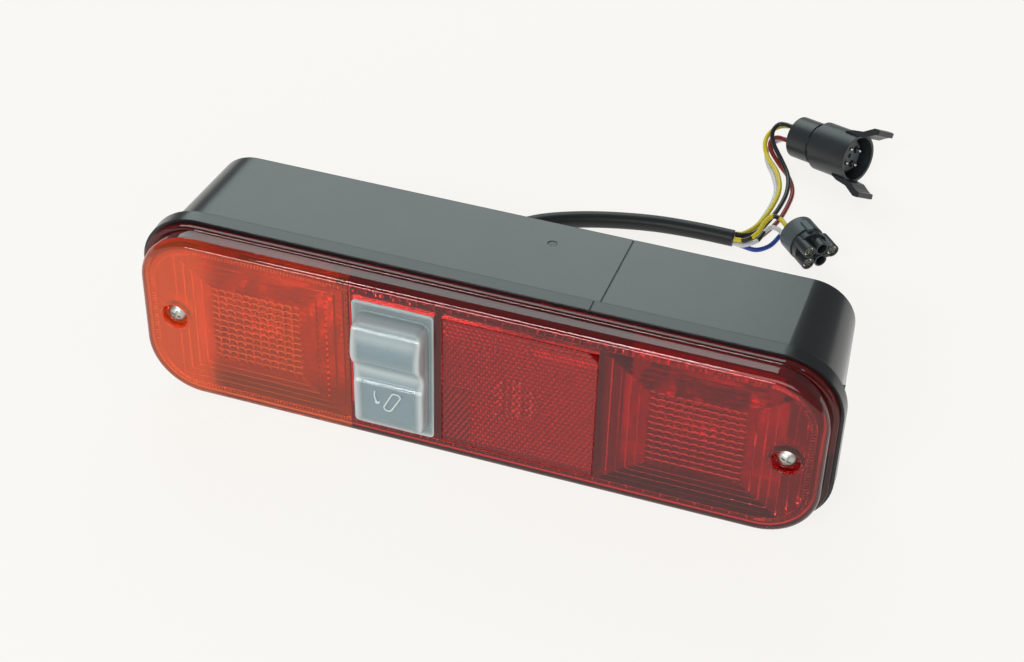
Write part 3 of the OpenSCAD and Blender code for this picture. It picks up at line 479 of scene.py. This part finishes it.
def sheet_grid(xs, zs, depth, size, holes, bore):
    """A grid at depth(x, z); cells off the outline or in a hole go, corners snap to the edge."""
    x, z = (a.ravel() for a in np.meshgrid(xs, zs, indexing="ij"))
    f = quads(len(xs), len(zs))
    mx, mz = x[f].mean(1), z[f].mean(1)
    keep = (from_edge(x, z, *size)[f] < -1e-6).any(1)
    for x1, x2, z1, z2 in holes:
        keep &= ~((mx > x1) & (mx < x2) & (mz > z1) & (mz < z2))
    wx, wr = bore
    far = np.hypot(x - wx, z)
    keep &= (far[f] > wr + 1e-6).any(1)
    y = depth(x, z)
    push = np.where(far < wr, wr / np.maximum(far, 1e-6), 1.0)
    x, z = pull_in(wx + (x - wx) * push, z * push, *size)
    used, back = np.unique(f[keep], return_inverse=True)
    return np.stack([x, y, z], -1)[used], back.reshape(-1, 4)


def turned(profile, cx, scallops=0, flute=0.0, n=72):
    """Surface of revolution from (radius, depth) pairs; each scallop adds flute to the radius."""
    a = np.linspace(0, 2 * np.pi, n, endpoint=False)
    r, y = np.array(profile).T[:, :, None]
    r = r + flute * np.abs(np.cos(scallops * a / 2))
    points = np.stack([cx + r * np.cos(a), y + 0 * a, r * np.sin(a)], -1)
    return points, quads(len(profile), n, wrap=True)


# %% [markdown]
# Behind each window the optics are cut into the inside of the face. A field of small pillows
# spreads the bulb's light. Round it run saw-shaped ribs that meet at mitres, like the mouldings of
# a picture frame. Near the edge a border of fine teeth hides the join of face and wall.

# %% Lens optics
def optics(x, z, centre):
    """Depth of the inner face: pillows inside the field, then ribs that deepen inwards."""
    u, v = x - centre, z
    cu = 2 * np.mod((u + FIELD_W / 2) * PILLOWS_X / FIELD_W, 1) - 1
    cv = 2 * np.mod((v + FIELD_H / 2) * PILLOWS_Z / FIELD_H, 1) - 1
    pillow = 0.72 * (1 - cu ** 2) + 0.66 * (1 - cv ** 2)
    du, dv = (np.abs(u) - FIELD_W / 2) / RING_X, (np.abs(v) - FIELD_H / 2) / RING_Z
    m = np.maximum(du, dv)
    saw = np.where(du > dv, 0.78, 0.5) * (1 - np.mod(m + 1e-6, 1))
    cross = np.where(du > dv, 0.06 * (1 - cv ** 2), 0.05 * (1 - cu ** 2))
    return np.where(m < 0, pillow, saw + cross)


def thickness_and_shade(x, z, centre, low=1.0, top=0.4):
    """0 to 1 dye darkening: thick pillow middles, plus painted shade to the lower left and on low
    ribs.
    """
    u, v = x - centre, z
    cu = 2 * np.mod((u + FIELD_W / 2) * PILLOWS_X / FIELD_W, 1) - 1
    cv = 2 * np.mod((v + FIELD_H / 2) * PILLOWS_Z / FIELD_H, 1) - 1
    # Painted shade: the pillows darken towards the lower left of the field.
    slope = np.clip(0.5 - (u / FIELD_W + v / FIELD_H) / 1.5, 0, 1)
    middle = (1 - cu ** 2) * (1 - cv ** 2)
    du, dv = (np.abs(u) - FIELD_W / 2) / RING_X, (np.abs(v) - FIELD_H / 2) / RING_Z
    # Painted shade: the ribs below the field darken by low, more than the ribs above by top.
    rib = np.where(dv > du, np.where(v < 0, low, top), 0.08)
    return np.where(np.maximum(du, dv) < 0, middle ** 0.6 * (0.25 + 0.75 * slope), rib)


def shoulder_arc(inset, r, depth, steps=8):
    """Quarter turn from the wall at an inset to the face at a depth, radius r."""
    a = np.linspace(0, np.pi / 2, steps)
    return list(zip(inset + r - r * np.cos(a), depth + r - r * np.sin(a)))


def grid_lines(*runs):
    """Sorted lines from runs of (start, end, count), without repeats."""
    return np.unique(np.round(np.concatenate([np.linspace(a, b, n + 1) for a, b, n in runs]), 4))


def optic_lines(centre, half, cells, ring, limit, step=6):
    """Lines along the pillows and the ribs on both sides of a centre, within limit of zero."""
    count = int(2 * LENS_W / ring)
    outer = half + ring * np.arange(1, count * step) / step
    inner = np.linspace(-half, half, cells * step + 1)
    v = centre + np.concatenate([inner, outer, -outer])
    return np.unique(np.round(v[np.abs(v) <= limit], 4))


WALL, LIP = (LENS_W, LENS_H, LENS_R), (LIP_W, LIP_H, LIP_R)
IN_R, BORDER, TOOTH = 1.9, 2.2, 1.4
IN_E = THICK + IN_R
FACE = (LENS_W - 2 * SHOULDER, LENS_H - 2 * SHOULDER, LENS_R - SHOULDER)
OPTIC = tuple(np.array([LENS_W, LENS_H, LENS_R]) - (IN_E + BORDER) * np.array([2, 2, 1]))
FINE = 8


def teeth(size, deep):
    """Triangle wave round the fine outline, one tooth per TOOTH mm, from 0 to deep."""
    p, _ = outline(*size, FINE)
    run = np.concatenate([[0], np.cumsum(np.linalg.norm(np.diff(p, axis=0), axis=1))])
    return deep * np.abs(2 * np.mod(run / TOOTH, 1) - 1)


def border(skin, side):
    """Band of teeth between the inner shoulder and the optics."""
    wave = teeth(WALL, 0.55)
    band = [(IN_E, THICK), (IN_E + 0.3, THICK + wave), (IN_E + BORDER - 0.3, THICK + wave),
            (IN_E + BORDER, THICK)]
    strip(skin, rings(band, WALL, FINE), side, FINE, turn=False)


def well(skin, x, flute):
    """The screw's well, its floor and clearance hole, and the post behind it with its scallops."""
    inner = [(WELL_R + 0.3, 0.0), (WELL_R, 0.3), (WELL_R - 0.1, 3.2), (WELL_R - 0.4, WELL_FLOOR),
             (HOLE_R, WELL_FLOOR), (HOLE_R, POST_END), (4.6, POST_END), (POST_R - 0.8, 9.3)]
    skin.add(*turned(inner, x), turn=False)
    outer = [(POST_R - 0.8, 9.3), (POST_R - 0.2, 6.0), (POST_R, 3.2), (POST_R + 0.5, THICK)]
    skin.add(*turned(outer, x, 14, flute), turn=False)


def end_section():
    """Outer and inner section of the face where it is cut across at the amber edge."""
    e, y = np.array(shoulder_arc(0.0, SHOULDER, 0.0)).T
    outer = np.stack([np.full(len(e), CUT_X), y, LENS_H / 2 - e], -1)
    depth, inset = np.clip(y + THICK, THICK, SHOULDER), np.minimum(e + THICK, 6.0)
    inner = np.stack([np.full(len(e), CUT_X), depth, LENS_H / 2 - inset], -1)
    both = [np.vstack([s * [1, 1, -1], s[::-1]]) for s in (outer, inner)]
    return np.array(both), quads(2, 2 * len(e))


# %% [markdown]
# The red lens is one moulding: a lip and a fluted wall the whole way round, and to the right of the
# amber cap a shoulder, a face with its optics, and the windows for the boot and the reflex plate.
# Acrylic bends light by an index of 1.49. The dye passes red and stops nearly everything else. Two
# shares at each vertex say how frosted the plastic is there and how far its dye darkens: partly for
# thickness, partly as painted shade on the lower ribs, the lower wall and the field's lower left.

# %% Red lens
red_mat = dyed("acrylic_red", (0.74, 0.035, 0.03, 1))
FACE_FROST, SIDE_FROST, WALL_FROST, WALL_DEEP = 0.02, 0.10, 0.18, 0.75
BOOT_HOLE = (SWITCH_X - 17.1, SWITCH_X + 17.1, -31.4, 31.4)
PLATE_HOLE = (REFLEX_X - 31.65, REFLEX_X + 31.65, -31.65, 31.65)
WINDOW_EDGE, RIM = 54.0, 5.0


def red_lens():
    """Every surface of the red moulding, from the lip's back edge to the optics."""
    skin = Skin()
    lip = rings([(0.25, LIP_BACK), (0.0, 11.1), (0.0, 9.3), (0.3, LIP_FRONT)], LIP)
    wall = rings([(-0.6, LIP_FRONT), (-0.15, 8.8), (0.0, 8.3), (0.0, 6.0), (0.0, SHOULDER)], WALL)
    strip(skin, np.concatenate([lip, wall]))
    strip(skin, rings(shoulder_arc(0.0, SHOULDER, 0.0), WALL), "red")
    wave = teeth(WALL, 0.3)
    flutes = [(THICK, LIP_BACK), (THICK + wave, LIP_BACK - 0.4), (THICK + wave, 4.7), (THICK, 4.3)]
    strip(skin, rings(flutes, WALL, FINE), fine=FINE, turn=False)
    strip(skin, rings(shoulder_arc(THICK, IN_R, THICK, 5), WALL), "red", turn=False)
    strip(skin, rings([(THICK, 4.3), (THICK, SHOULDER), (0.0, SHOULDER)], WALL), "amber",
          turn=False)
    strip(skin, np.concatenate([rings([(THICK, LIP_BACK)], WALL), rings([(0.25, LIP_BACK)], LIP)]))
    border(skin, "red")
    edges = [-31.65, -31.4, 31.4, 31.65]
    lines = optic_lines(0, FIELD_H / 2, PILLOWS_Z, RING_Z, LENS_H / 2)
    zs = np.unique(np.concatenate([lines, edges]))
    right = optic_lines(OPTIC_X, FIELD_W / 2, PILLOWS_X, RING_X, LENS_W / 2)
    stops = [CUT_X, BOOT_HOLE[0], BOOT_HOLE[1], PLATE_HOLE[0], PLATE_HOLE[1], WINDOW_EDGE]
    plain = grid_lines(*zip(stops[:-1], stops[1:], (2, 20, 4, 40, 4)))
    xs = np.unique(np.concatenate([plain, right[right > WINDOW_EDGE]]))
    holes = [BOOT_HOLE, PLATE_HOLE]
    wide = np.unique(np.concatenate([xs[::3], stops]))
    tall = np.unique(np.concatenate([zs[::5], edges]))
    skin.add(*sheet_grid(wide, tall, lambda x, z: 0 * x, FACE, holes, (SCREW_X, WELL_R + 0.3)))

    def relief(x, z):
        """The optics right of the reflex plate, and the plain thickness elsewhere."""
        shaped = (from_edge(x, z, *OPTIC) < -0.02) & (x > WINDOW_EDGE + 0.4)
        return THICK + np.where(shaped, optics(x, z, OPTIC_X), 0)

    skin.add(*sheet_grid(xs, zs, relief, OPTIC, holes, (SCREW_X, POST_R + 0.5)), turn=False)
    for x1, x2, z1, z2 in holes:
        ring = np.array([[x1, 0, z1], [x2, 0, z1], [x2, 0, z2], [x1, 0, z2]])
        skin.add(np.concatenate([ring, ring + [0, THICK, 0]]), quads(2, 4, wrap=True), turn=False)
    well(skin, SCREW_X, 0.45)
    skin.add(*end_section(), turn=False)
    return skin.make("red_lens_body", red_mat, crease=28)


red = red_lens()
rx, ry, rz = lamp_points(red)
in_wall = np.clip((from_edge(rx, rz, *WALL) + RIM) / THICK, 0, 1) * np.clip(ry / SHOULDER, 0, 1)
in_optic = (from_edge(rx, rz, *OPTIC) < 0) & (rx > WINDOW_EDGE) & (ry > THICK - 0.1)
across = np.abs(rx - OPTIC_X)
mitre = (FIELD_W / RING_X - FIELD_H / RING_Z) / 2
beside = in_optic & (across > FIELD_W / 2) & (across / RING_X - np.abs(rz) / RING_Z > mitre)
set_share(red, "frost", FACE_FROST + SIDE_FROST * beside + (WALL_FROST - FACE_FROST) * in_wall)
# The wall's dye darkens where it is seen along its length; the lower wall is darkened fully as
# painted shade.
wall_dye_and_shade = np.where(rz < 0, 1.0, WALL_DEEP) * in_wall
set_share(red, "deep", np.where(in_optic, thickness_and_shade(rx, rz, OPTIC_X), wall_dye_and_shade))
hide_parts("red_lens")
print("red lens faces:", len(red.data.polygons))

# %% [markdown]
# The amber cap is welded on the front edge of the red wall. Its dye lets more light through and the
# plastic is hazier, so its smooth left end looks an even orange.

# %% Amber lens
amber_mat = dyed("acrylic_amber", (0.92, 0.165, 0.03, 1))
AMBER_FROST, END_FROST, SMOOTH_END, RIM_DEEP = 0.10, 0.28, -112.0, 0.5


def amber_lens():
    """Shoulder, face and optics left of the cut, seated on the red wall."""
    skin = Skin()
    seat = SHOULDER - 0.08
    outer = shoulder_arc(0.0, SHOULDER, 0.0)
    outer[0] = (0.0, seat)
    strip(skin, rings(outer, WALL), "amber")
    inner = [(THICK, seat)] + shoulder_arc(THICK, IN_R, THICK, 6)[3:]
    strip(skin, rings(inner, WALL), "amber", turn=False)
    strip(skin, rings([(THICK, seat), (0.0, seat)], WALL), "amber")
    border(skin, "amber")
    zs = optic_lines(0, FIELD_H / 2, PILLOWS_Z, RING_Z, LENS_H / 2)
    xs = optic_lines(-OPTIC_X, FIELD_W / 2, PILLOWS_X, RING_X, LENS_W / 2)
    xs = np.append(xs[xs < CUT_X], CUT_X)
    wide = np.unique(np.append(xs[::3], CUT_X))
    skin.add(*sheet_grid(wide, zs[::5], lambda x, z: 0 * x, FACE, (), (-SCREW_X, WELL_R + 0.3)))

    def relief(x, z):
        """Full ribs near the field, faint ones on the smooth end."""
        share = np.where(x > -OPTIC_X - FIELD_W / 2 - 5 * RING_X, 1.0, 0.12)
        return THICK + np.where(from_edge(x, z, *OPTIC) < -0.02, share * optics(x, z, -OPTIC_X), 0)

    skin.add(*sheet_grid(xs, zs, relief, OPTIC, (), (-SCREW_X, POST_R + 0.5)), turn=False)
    well(skin, -SCREW_X, 0.0)
    points, faces = end_section()
    skin.add(points - [0.08, 0, 0], faces)
    return skin.make("amber_lens_body", amber_mat, crease=28)


amber = amber_lens()
ax, ay, az = lamp_points(amber)
at_end = np.clip((SMOOTH_END + 5.0 - ax) / 9.0, 0, 1)
set_share(amber, "frost", AMBER_FROST + (END_FROST - AMBER_FROST) * at_end)
in_optic = (from_edge(ax, az, *OPTIC) < 0) & (ay > THICK - 0.1) & (ax > SMOOTH_END)
in_rim = np.clip((from_edge(ax, az, *WALL) + RIM) / THICK, 0, 1)
# Painted shade as on the red lens, weaker: the lower ribs and the field's lower left are darker.
ribs_and_shade = thickness_and_shade(ax, az, -OPTIC_X, low=0.6, top=0.25)
set_share(amber, "deep", np.where(in_optic, ribs_and_shade, RIM_DEEP * in_rim))
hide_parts("amber_lens")
print("amber lens faces:", len(amber.data.polygons))

# %% [markdown]
# The reflex plate turns light back on itself. Its back is a lattice of cube corners: each triangle
# of the lattice carries a pyramid whose three sides meet at right angles. Zones of the plate lean
# their pyramids differently, and a round patch in the middle has upright flutes in their place.

# %% Reflex plate
reflex_mat = dyed("acrylic_reflex", (0.90, 0.06, 0.05, 1), rough=0.04)
PLATE_FROST, PLATE_T, PRISM_SIDE, FLUTE = 0.06, 2.6, 2.2, 2.6
DISC = (-1.6, -2.2, 9.4)


def reflex_plate(side=PRISM_SIDE, base=PLATE_T, patch=DISC):
    """Lattice of triangles with an apex at height side/sqrt(6) over each, clipped to the plate."""
    half = REFLEX_W / 2
    high = side * math.sqrt(3) / 2
    rows, cols = int(2 * half / high) + 3, int(2 * half / side) + 4
    i, j = np.meshgrid(np.arange(rows), np.arange(cols), indexing="ij")
    z = (-half - high * 0.5 + i * high).ravel()
    x = (-half - side + j * side + (i % 2) * side / 2).ravel()
    q = quads(rows, cols)
    p0, p1, p3, p2 = q.T
    even = ((q[:, 0] // cols) % 2 == 0)[:, None]
    tri = np.concatenate([np.where(even, np.stack([p0, p1, p2], -1), np.stack([p0, p1, p3], -1)),
                          np.where(even, np.stack([p1, p3, p2], -1), np.stack([p0, p3, p2], -1))])
    mx, mz = x[tri].mean(1), z[tri].mean(1)
    ok = np.maximum(np.abs(mx), np.abs(mz)) < half + 0.3
    ok &= mx + mz < 2 * half - REFLEX_CUT + 0.4
    tri, mx, mz = tri[ok], mx[ok], mz[ok]
    in_patch = np.hypot(mx - patch[0], mz - patch[1]) < patch[2]
    zones = np.where((mx < -20) & (mz < -4), 0.35, np.where((mz > 22) & (mx < 4), -0.3, 0.0))
    lean = zones * side / 2
    flutes = 0.35 + 0.35 * np.abs(np.mod(mx / FLUTE, 1) * 2 - 1)
    rise = np.where(in_patch, flutes, side / math.sqrt(6))

    def clip(x, z):
        """Keeps points inside the plate and its cut corner."""
        x, z = np.clip(x, -half, half), np.clip(z, -half, half)
        over = np.maximum(0, x + z - (2 * half - REFLEX_CUT)) / 2
        return x - over, z - over

    x, z = clip(x, z)
    mx, mz = clip(mx + lean, mz + lean * 0.5)
    skin = Skin()
    n = len(x)
    points = np.vstack([np.stack([x + REFLEX_X, np.full(n, base), z], -1),
                        np.stack([mx + REFLEX_X, base + rise, mz], -1)])
    apex = n + np.arange(len(tri))
    sides = [np.stack([tri[:, k], tri[:, (k + 1) % 3], apex], -1) for k in range(3)]
    skin.add(points, np.concatenate(sides))
    loop = np.array([[-half, -half], [half, -half], [half, half - REFLEX_CUT],
                     [half - REFLEX_CUT, half], [-half, half]])
    inner = loop * (1 - 0.35 / half)
    rim = [np.insert(o + [REFLEX_X, 0], 1, y, axis=1)
           for o, y in ((loop, base), (loop, 0.35), (inner, 0.0))]
    skin.add(np.concatenate(rim), quads(3, 5, wrap=True), turn=False)
    skin.add(rim[2], [[0, 1, 2, 3, 4]], turn=False)
    return skin.make("reflex_plate_body", reflex_mat, crease=15)


plate = reflex_plate()
px, py, pz = lamp_points(plate)
set_share(plate, "frost", PLATE_FROST)
# Painted light in the dye: two zones at the left stay lighter as a painted highlight; every other
# prism row and one side of each flute are darker as painted shade.
painted_bright_zone = (px < REFLEX_X - 12.0) & ((pz > 16.0) | (pz < -8.0))
row = PRISM_SIDE * math.sqrt(3) / 2
points_up = np.mod((pz + REFLEX_W / 2) / row + 0.5, 1) < 0.5
in_disc = np.hypot(px - REFLEX_X - DISC[0], pz - DISC[1]) < DISC[2]
upright = np.mod(px / FLUTE, 1) < 0.5
tone = np.where(in_disc, 0.05 + 0.7 * upright, np.where(painted_bright_zone, 0.0, 0.25) + 0.7 * points_up)
set_share(plate, "deep", np.where(py > PLATE_T + 0.1, tone, 0.0))
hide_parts("reflex_plate")
print("reflex plate faces:", len(plate.data.polygons))

# %% [markdown]
# The boot is a thin skin of milky silicone over the rocker, with a crest that the thumb presses.
# Its height is one profile along the rocker, carried out to steep side walls with a small round
# edge. Where the eye looks along a wall it sees more silicone, so the walls and rims look paler.
# Pale bands across the waist and the crest are painted highlights.

# %% Boot
CREST = np.array([
    [-26.5, 6.4], [-22.0, 6.5], [-14.0, 6.7], [-8.0, 6.8], [-5.5, 6.75], [-3.2, 5.7], [0.0, 5.2],
    [3.4, 6.1], [6.0, 7.7], [8.5, 9.2], [10.5, 9.75], [12.5, 9.9], [16.0, 9.6], [19.0, 9.0],
    [22.0, 8.15], [24.0, 7.35], [26.5, 6.1]])
FLANGE_RISE, EDGE_R, BOOT_T = 0.4, 1.3, 1.2


def boot_height(x, z, inset=0.0):
    """How far the skin stands out of the lens face; inset moves its walls and its crest inwards."""
    fine = smooth_path(CREST, 8)
    crest = np.interp(z, fine[:, 0], fine[:, 1]) - inset
    inside = -from_edge(x, z, DOME_W - 2 * inset, DOME_H - 2 * inset, DOME_R - inset)
    t = np.clip(inside / EDGE_R, 0, 1)
    lift = (1 - (1 - t) ** 2.6) ** (1 / 2.6)
    low = FLANGE_RISE if inset == 0 else -BOOT_T - 0.1
    return low + (crest - low) * lift


def paler(x, z):
    """0 over the rocker, 1 at the side walls and rims; pale bands at the waist and crest are
    painted highlights.
    """
    side = np.clip((np.abs(x) - 11.2) / 2.2, 0, 1)
    ends = np.clip((np.abs(z) - 23.4) / 2.0, 0, 1) * (np.abs(x) < 15.4)
    # Painted highlights: pale bands across the waist and the crest of the dome.
    painted_bend_highlights = 0.8 * np.exp(-((z - 1.5) / 3.4) ** 2) + 0.6 * np.exp(-((z - 20.5) / 3.0) ** 2)
    flange = np.clip((np.abs(x) - 15.9) / 0.7, 0, 1) + np.clip((np.abs(z) - 29.9) / 0.8, 0, 1)
    on_dome = from_edge(x, z, DOME_W, DOME_H, DOME_R) < 0
    dome = np.maximum.reduce([side, ends * 0.8, painted_bend_highlights])
    return np.clip(np.where(on_dome, dome, 0.1 + flange), 0, 1)


PICTOGRAM = [[(-5.4, -7.4), (-5.7, -9.4), (-5.4, -11.6), (-4.4, -13.6)],
             [(-5.6, -13.0), (-4.3, -13.9), (-3.5, -12.4)],
             [(1.5, -8.0), (2.2, -7.1), (4.2, -7.0), (5.2, -7.9), (5.0, -9.2), (1.6, -15.6),
              (0.6, -16.6), (-0.9, -16.5), (-1.7, -15.5), (-1.4, -14.2), (1.5, -8.0)]]


def bead(path):
    """A low rounded ridge along a drawn line on the boot's lower face, raised 0.2 mm."""
    p = smooth_path(path, 4)
    d = np.gradient(p, axis=0)
    s = np.stack([-d[:, 1], d[:, 0]], -1)
    s /= np.linalg.norm(s, axis=1, keepdims=True) + 1e-9
    rows = []
    for off, rise in ((-0.28, -0.1), (-0.14, 0.2), (0.14, 0.2), (0.28, -0.1)):
        x, z = (p + s * off).T
        rows.append(np.stack([x + SWITCH_X, -boot_height(x, z) - rise, z], -1))
    return np.array(rows), quads(4, len(p))


def silicone(name, colour, pale):
    """Milky silicone, index 1.41: part passes, part scatters; attribute 'wall' makes it paler, also
    as painted highlights.
    """
    material, tree, out, place = new_material(name)
    fine = node(tree, "ShaderNodeTexNoise", {"Vector": place, "Scale": 300.0, "Detail": 3.0})
    relief = node(tree, "ShaderNodeBump", {
        "Height": fine.outputs["Fac"], "Strength": 0.05, "Distance": 0.0004})
    wall = node(tree, "ShaderNodeAttribute", attribute_name="wall").outputs["Fac"]
    tone = node(tree, "ShaderNodeMix", {0: wall, 6: rgb(colour), 7: rgb(pale)}, data_type="RGBA")
    clear = node(tree, "ShaderNodeMapRange", {"Value": wall, "To Min": 0.74, "To Max": 0.40})
    shader = node(tree, "ShaderNodeBsdfPrincipled", {
        "Base Color": tone.outputs[2], "Roughness": 0.09, "IOR": 1.41,
        "Transmission Weight": clear.outputs["Result"], "Normal": relief.outputs["Normal"]})
    passing = node(tree, "ShaderNodeBsdfTransparent", {"Color": (0.66, 0.70, 0.71, 1)})
    ray = node(tree, "ShaderNodeLightPath")
    mix = node(tree, "ShaderNodeMixShader", {
        0: ray.outputs["Is Shadow Ray"], 1: shader.outputs["BSDF"], 2: passing.outputs["BSDF"]})
    tree.links.new(mix.outputs["Shader"], out.inputs["Surface"])
    return material


def boot_piece(materials):
    """Outer and inner skins on one grid, joined at the flange's edge, with the raised pictogram."""
    skin = Skin()
    xs = grid_lines((-17, 17, 34), (-15.2, -13.6, 12), (13.6, 15.2, 12), (-14.2, -12.4, 8),
                    (12.4, 14.2, 8))
    zs = grid_lines((-31.3, 31.3, 70), (-26.5, -24.9, 12), (24.9, 26.5, 12), (-25.4, -23.6, 8),
                    (23.6, 25.4, 8))
    x, z = (a.ravel() for a in np.meshgrid(xs, zs, indexing="ij"))
    x, z = pull_in(x, z, BOOT_W, BOOT_H, 1.8)
    top = np.stack([x + SWITCH_X, -boot_height(x, z), z], -1)
    low = np.stack([x + SWITCH_X, -boot_height(x, z, BOOT_T), z], -1)
    f = quads(len(xs), len(zs))
    skin.add(top, f)
    skin.add(low, f, turn=False)
    k = np.arange(len(top)).reshape(len(xs), len(zs))
    edge = np.concatenate([k[:, 0], k[-1, 1:], k[-2::-1, -1], k[0, -2:0:-1]])
    skin.add(np.vstack([top[edge], low[edge]]), quads(2, len(edge), wrap=True))
    walls_and_highlights = [paler(x, z), paler(x, z), np.ones(2 * len(edge))]
    for path in PICTOGRAM:
        points, faces = bead(path)
        skin.add(points, faces, slot=1)
        walls_and_highlights.append(np.ones(points.shape[0] * points.shape[1]))
    obj = skin.make("boot_skin", materials, body=None, crease=50)
    set_share(obj, "wall", np.concatenate(walls_and_highlights))
    return obj


boot_mat = silicone("silicone_milky", "#B4C2C4", "#CBD2D1")
mark_mat = moulded("silicone_mark", "#CDD6D7", 0.4)
boot = boot_piece([boot_mat, mark_mat])
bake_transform(boot)
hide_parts("switch_boot")
print("boot faces:", len(boot.data.polygons))

# %% [markdown]
# The stage is a pale floor under soft studio light. A large softbox behind the lamp is what the
# housing's top mirrors as grey; its right edge is where that grey ends at the corner. A low strip
# in front draws the bright lines along the lens's shoulder and the boot's crest.

# %% Stage and light
BACKDROP = rgb("#F6F4F0")
PAPER_GLOW = (1.0, 0.985, 0.95, 1)


def softbox(name, place, aim, size, brightness, colour=(1, 1, 1)):
    """A rectangular lamp turned to face aim; its power is brightness times pi times its area."""
    data = bpy.data.lights.new(name, "AREA")
    data.shape, data.size, data.size_y = "RECTANGLE", size[0], size[1]
    data.energy, data.color = brightness * math.pi * size[0] * size[1], colour
    z = np.array(place, float) - np.array(aim, float)
    z /= np.linalg.norm(z)
    x = np.cross([0, 0, 1], z)
    x /= np.linalg.norm(x)
    pose = np.eye(4)
    pose[:3, 0], pose[:3, 1], pose[:3, 2], pose[:3, 3] = x, np.cross(z, x), z, place
    obj = bpy.data.objects.new(name, data)
    obj.matrix_world = Matrix(pose.tolist())
    bpy.context.scene.collection.objects.link(obj)


def pale_floor():
    """Floor that is mostly its own pale colour, with a small lit part that keeps a soft shadow."""
    material, tree, out, _ = new_material("paper_floor")
    lit = node(tree, "ShaderNodeBsdfDiffuse", {"Color": (0.86, 0.855, 0.83, 1)})
    own = node(tree, "ShaderNodeEmission", {"Color": PAPER_GLOW, "Strength": 1.0})
    mix = node(tree, "ShaderNodeMixShader", {
        0: 0.86, 1: lit.outputs["BSDF"], 2: own.outputs["Emission"]})
    tree.links.new(mix.outputs["Shader"], out.inputs["Surface"])
    corners = np.array([(-5, -5, 0), (5, -5, 0), (5, 5, 0), (-5, 5, 0)])
    build("floor", corners, [(np.array([[0, 1, 2, 3]]), 0)], material, body=None)


def surround():
    """World: the backdrop's colour to the camera, a dim cool grey to every other ray."""
    world = bpy.data.worlds.new("surround")
    bpy.context.scene.world = world
    world.use_nodes = True
    tree = world.node_tree
    tree.nodes.clear()
    seen = node(tree, "ShaderNodeBackground", {"Color": BACKDROP, "Strength": 1.0})
    fill = node(tree, "ShaderNodeBackground", {"Color": (0.92, 0.96, 1.0, 1), "Strength": 0.28})
    ray = node(tree, "ShaderNodeLightPath")
    both = node(tree, "ShaderNodeMixShader", {
        0: ray.outputs["Is Camera Ray"], 1: fill.outputs["Background"],
        2: seen.outputs["Background"]})
    node(tree, "ShaderNodeOutputWorld", {"Surface": both.outputs["Shader"]})


pale_floor()
surround()
softbox("softbox_back", (-0.62, 1.3, 1.05), (-0.1, 0, 0.05), (1.35, 1.0), 2.6, (0.86, 1.0, 0.98))
softbox("softbox_front", (0.3, -1.5, 1.0), (0, 0, 0.04), (1.3, 0.8), 2.8)
softbox("key_front", (-0.42, -1.38, 1.12), (0, 0, 0.04), (0.6, 0.18), 22.0)
softbox("strip_front", (-0.4, -1.6, 0.16), (0, 0, 0.05), (0.9, 0.16), 15.0)
scene = bpy.context.scene
scene.view_settings.view_transform = "Standard"
scene.cycles.max_bounces = 20
scene.cycles.transmission_bounces = 16
scene.cycles.transparent_max_bounces = 16
scene.cycles.glossy_bounces = 6
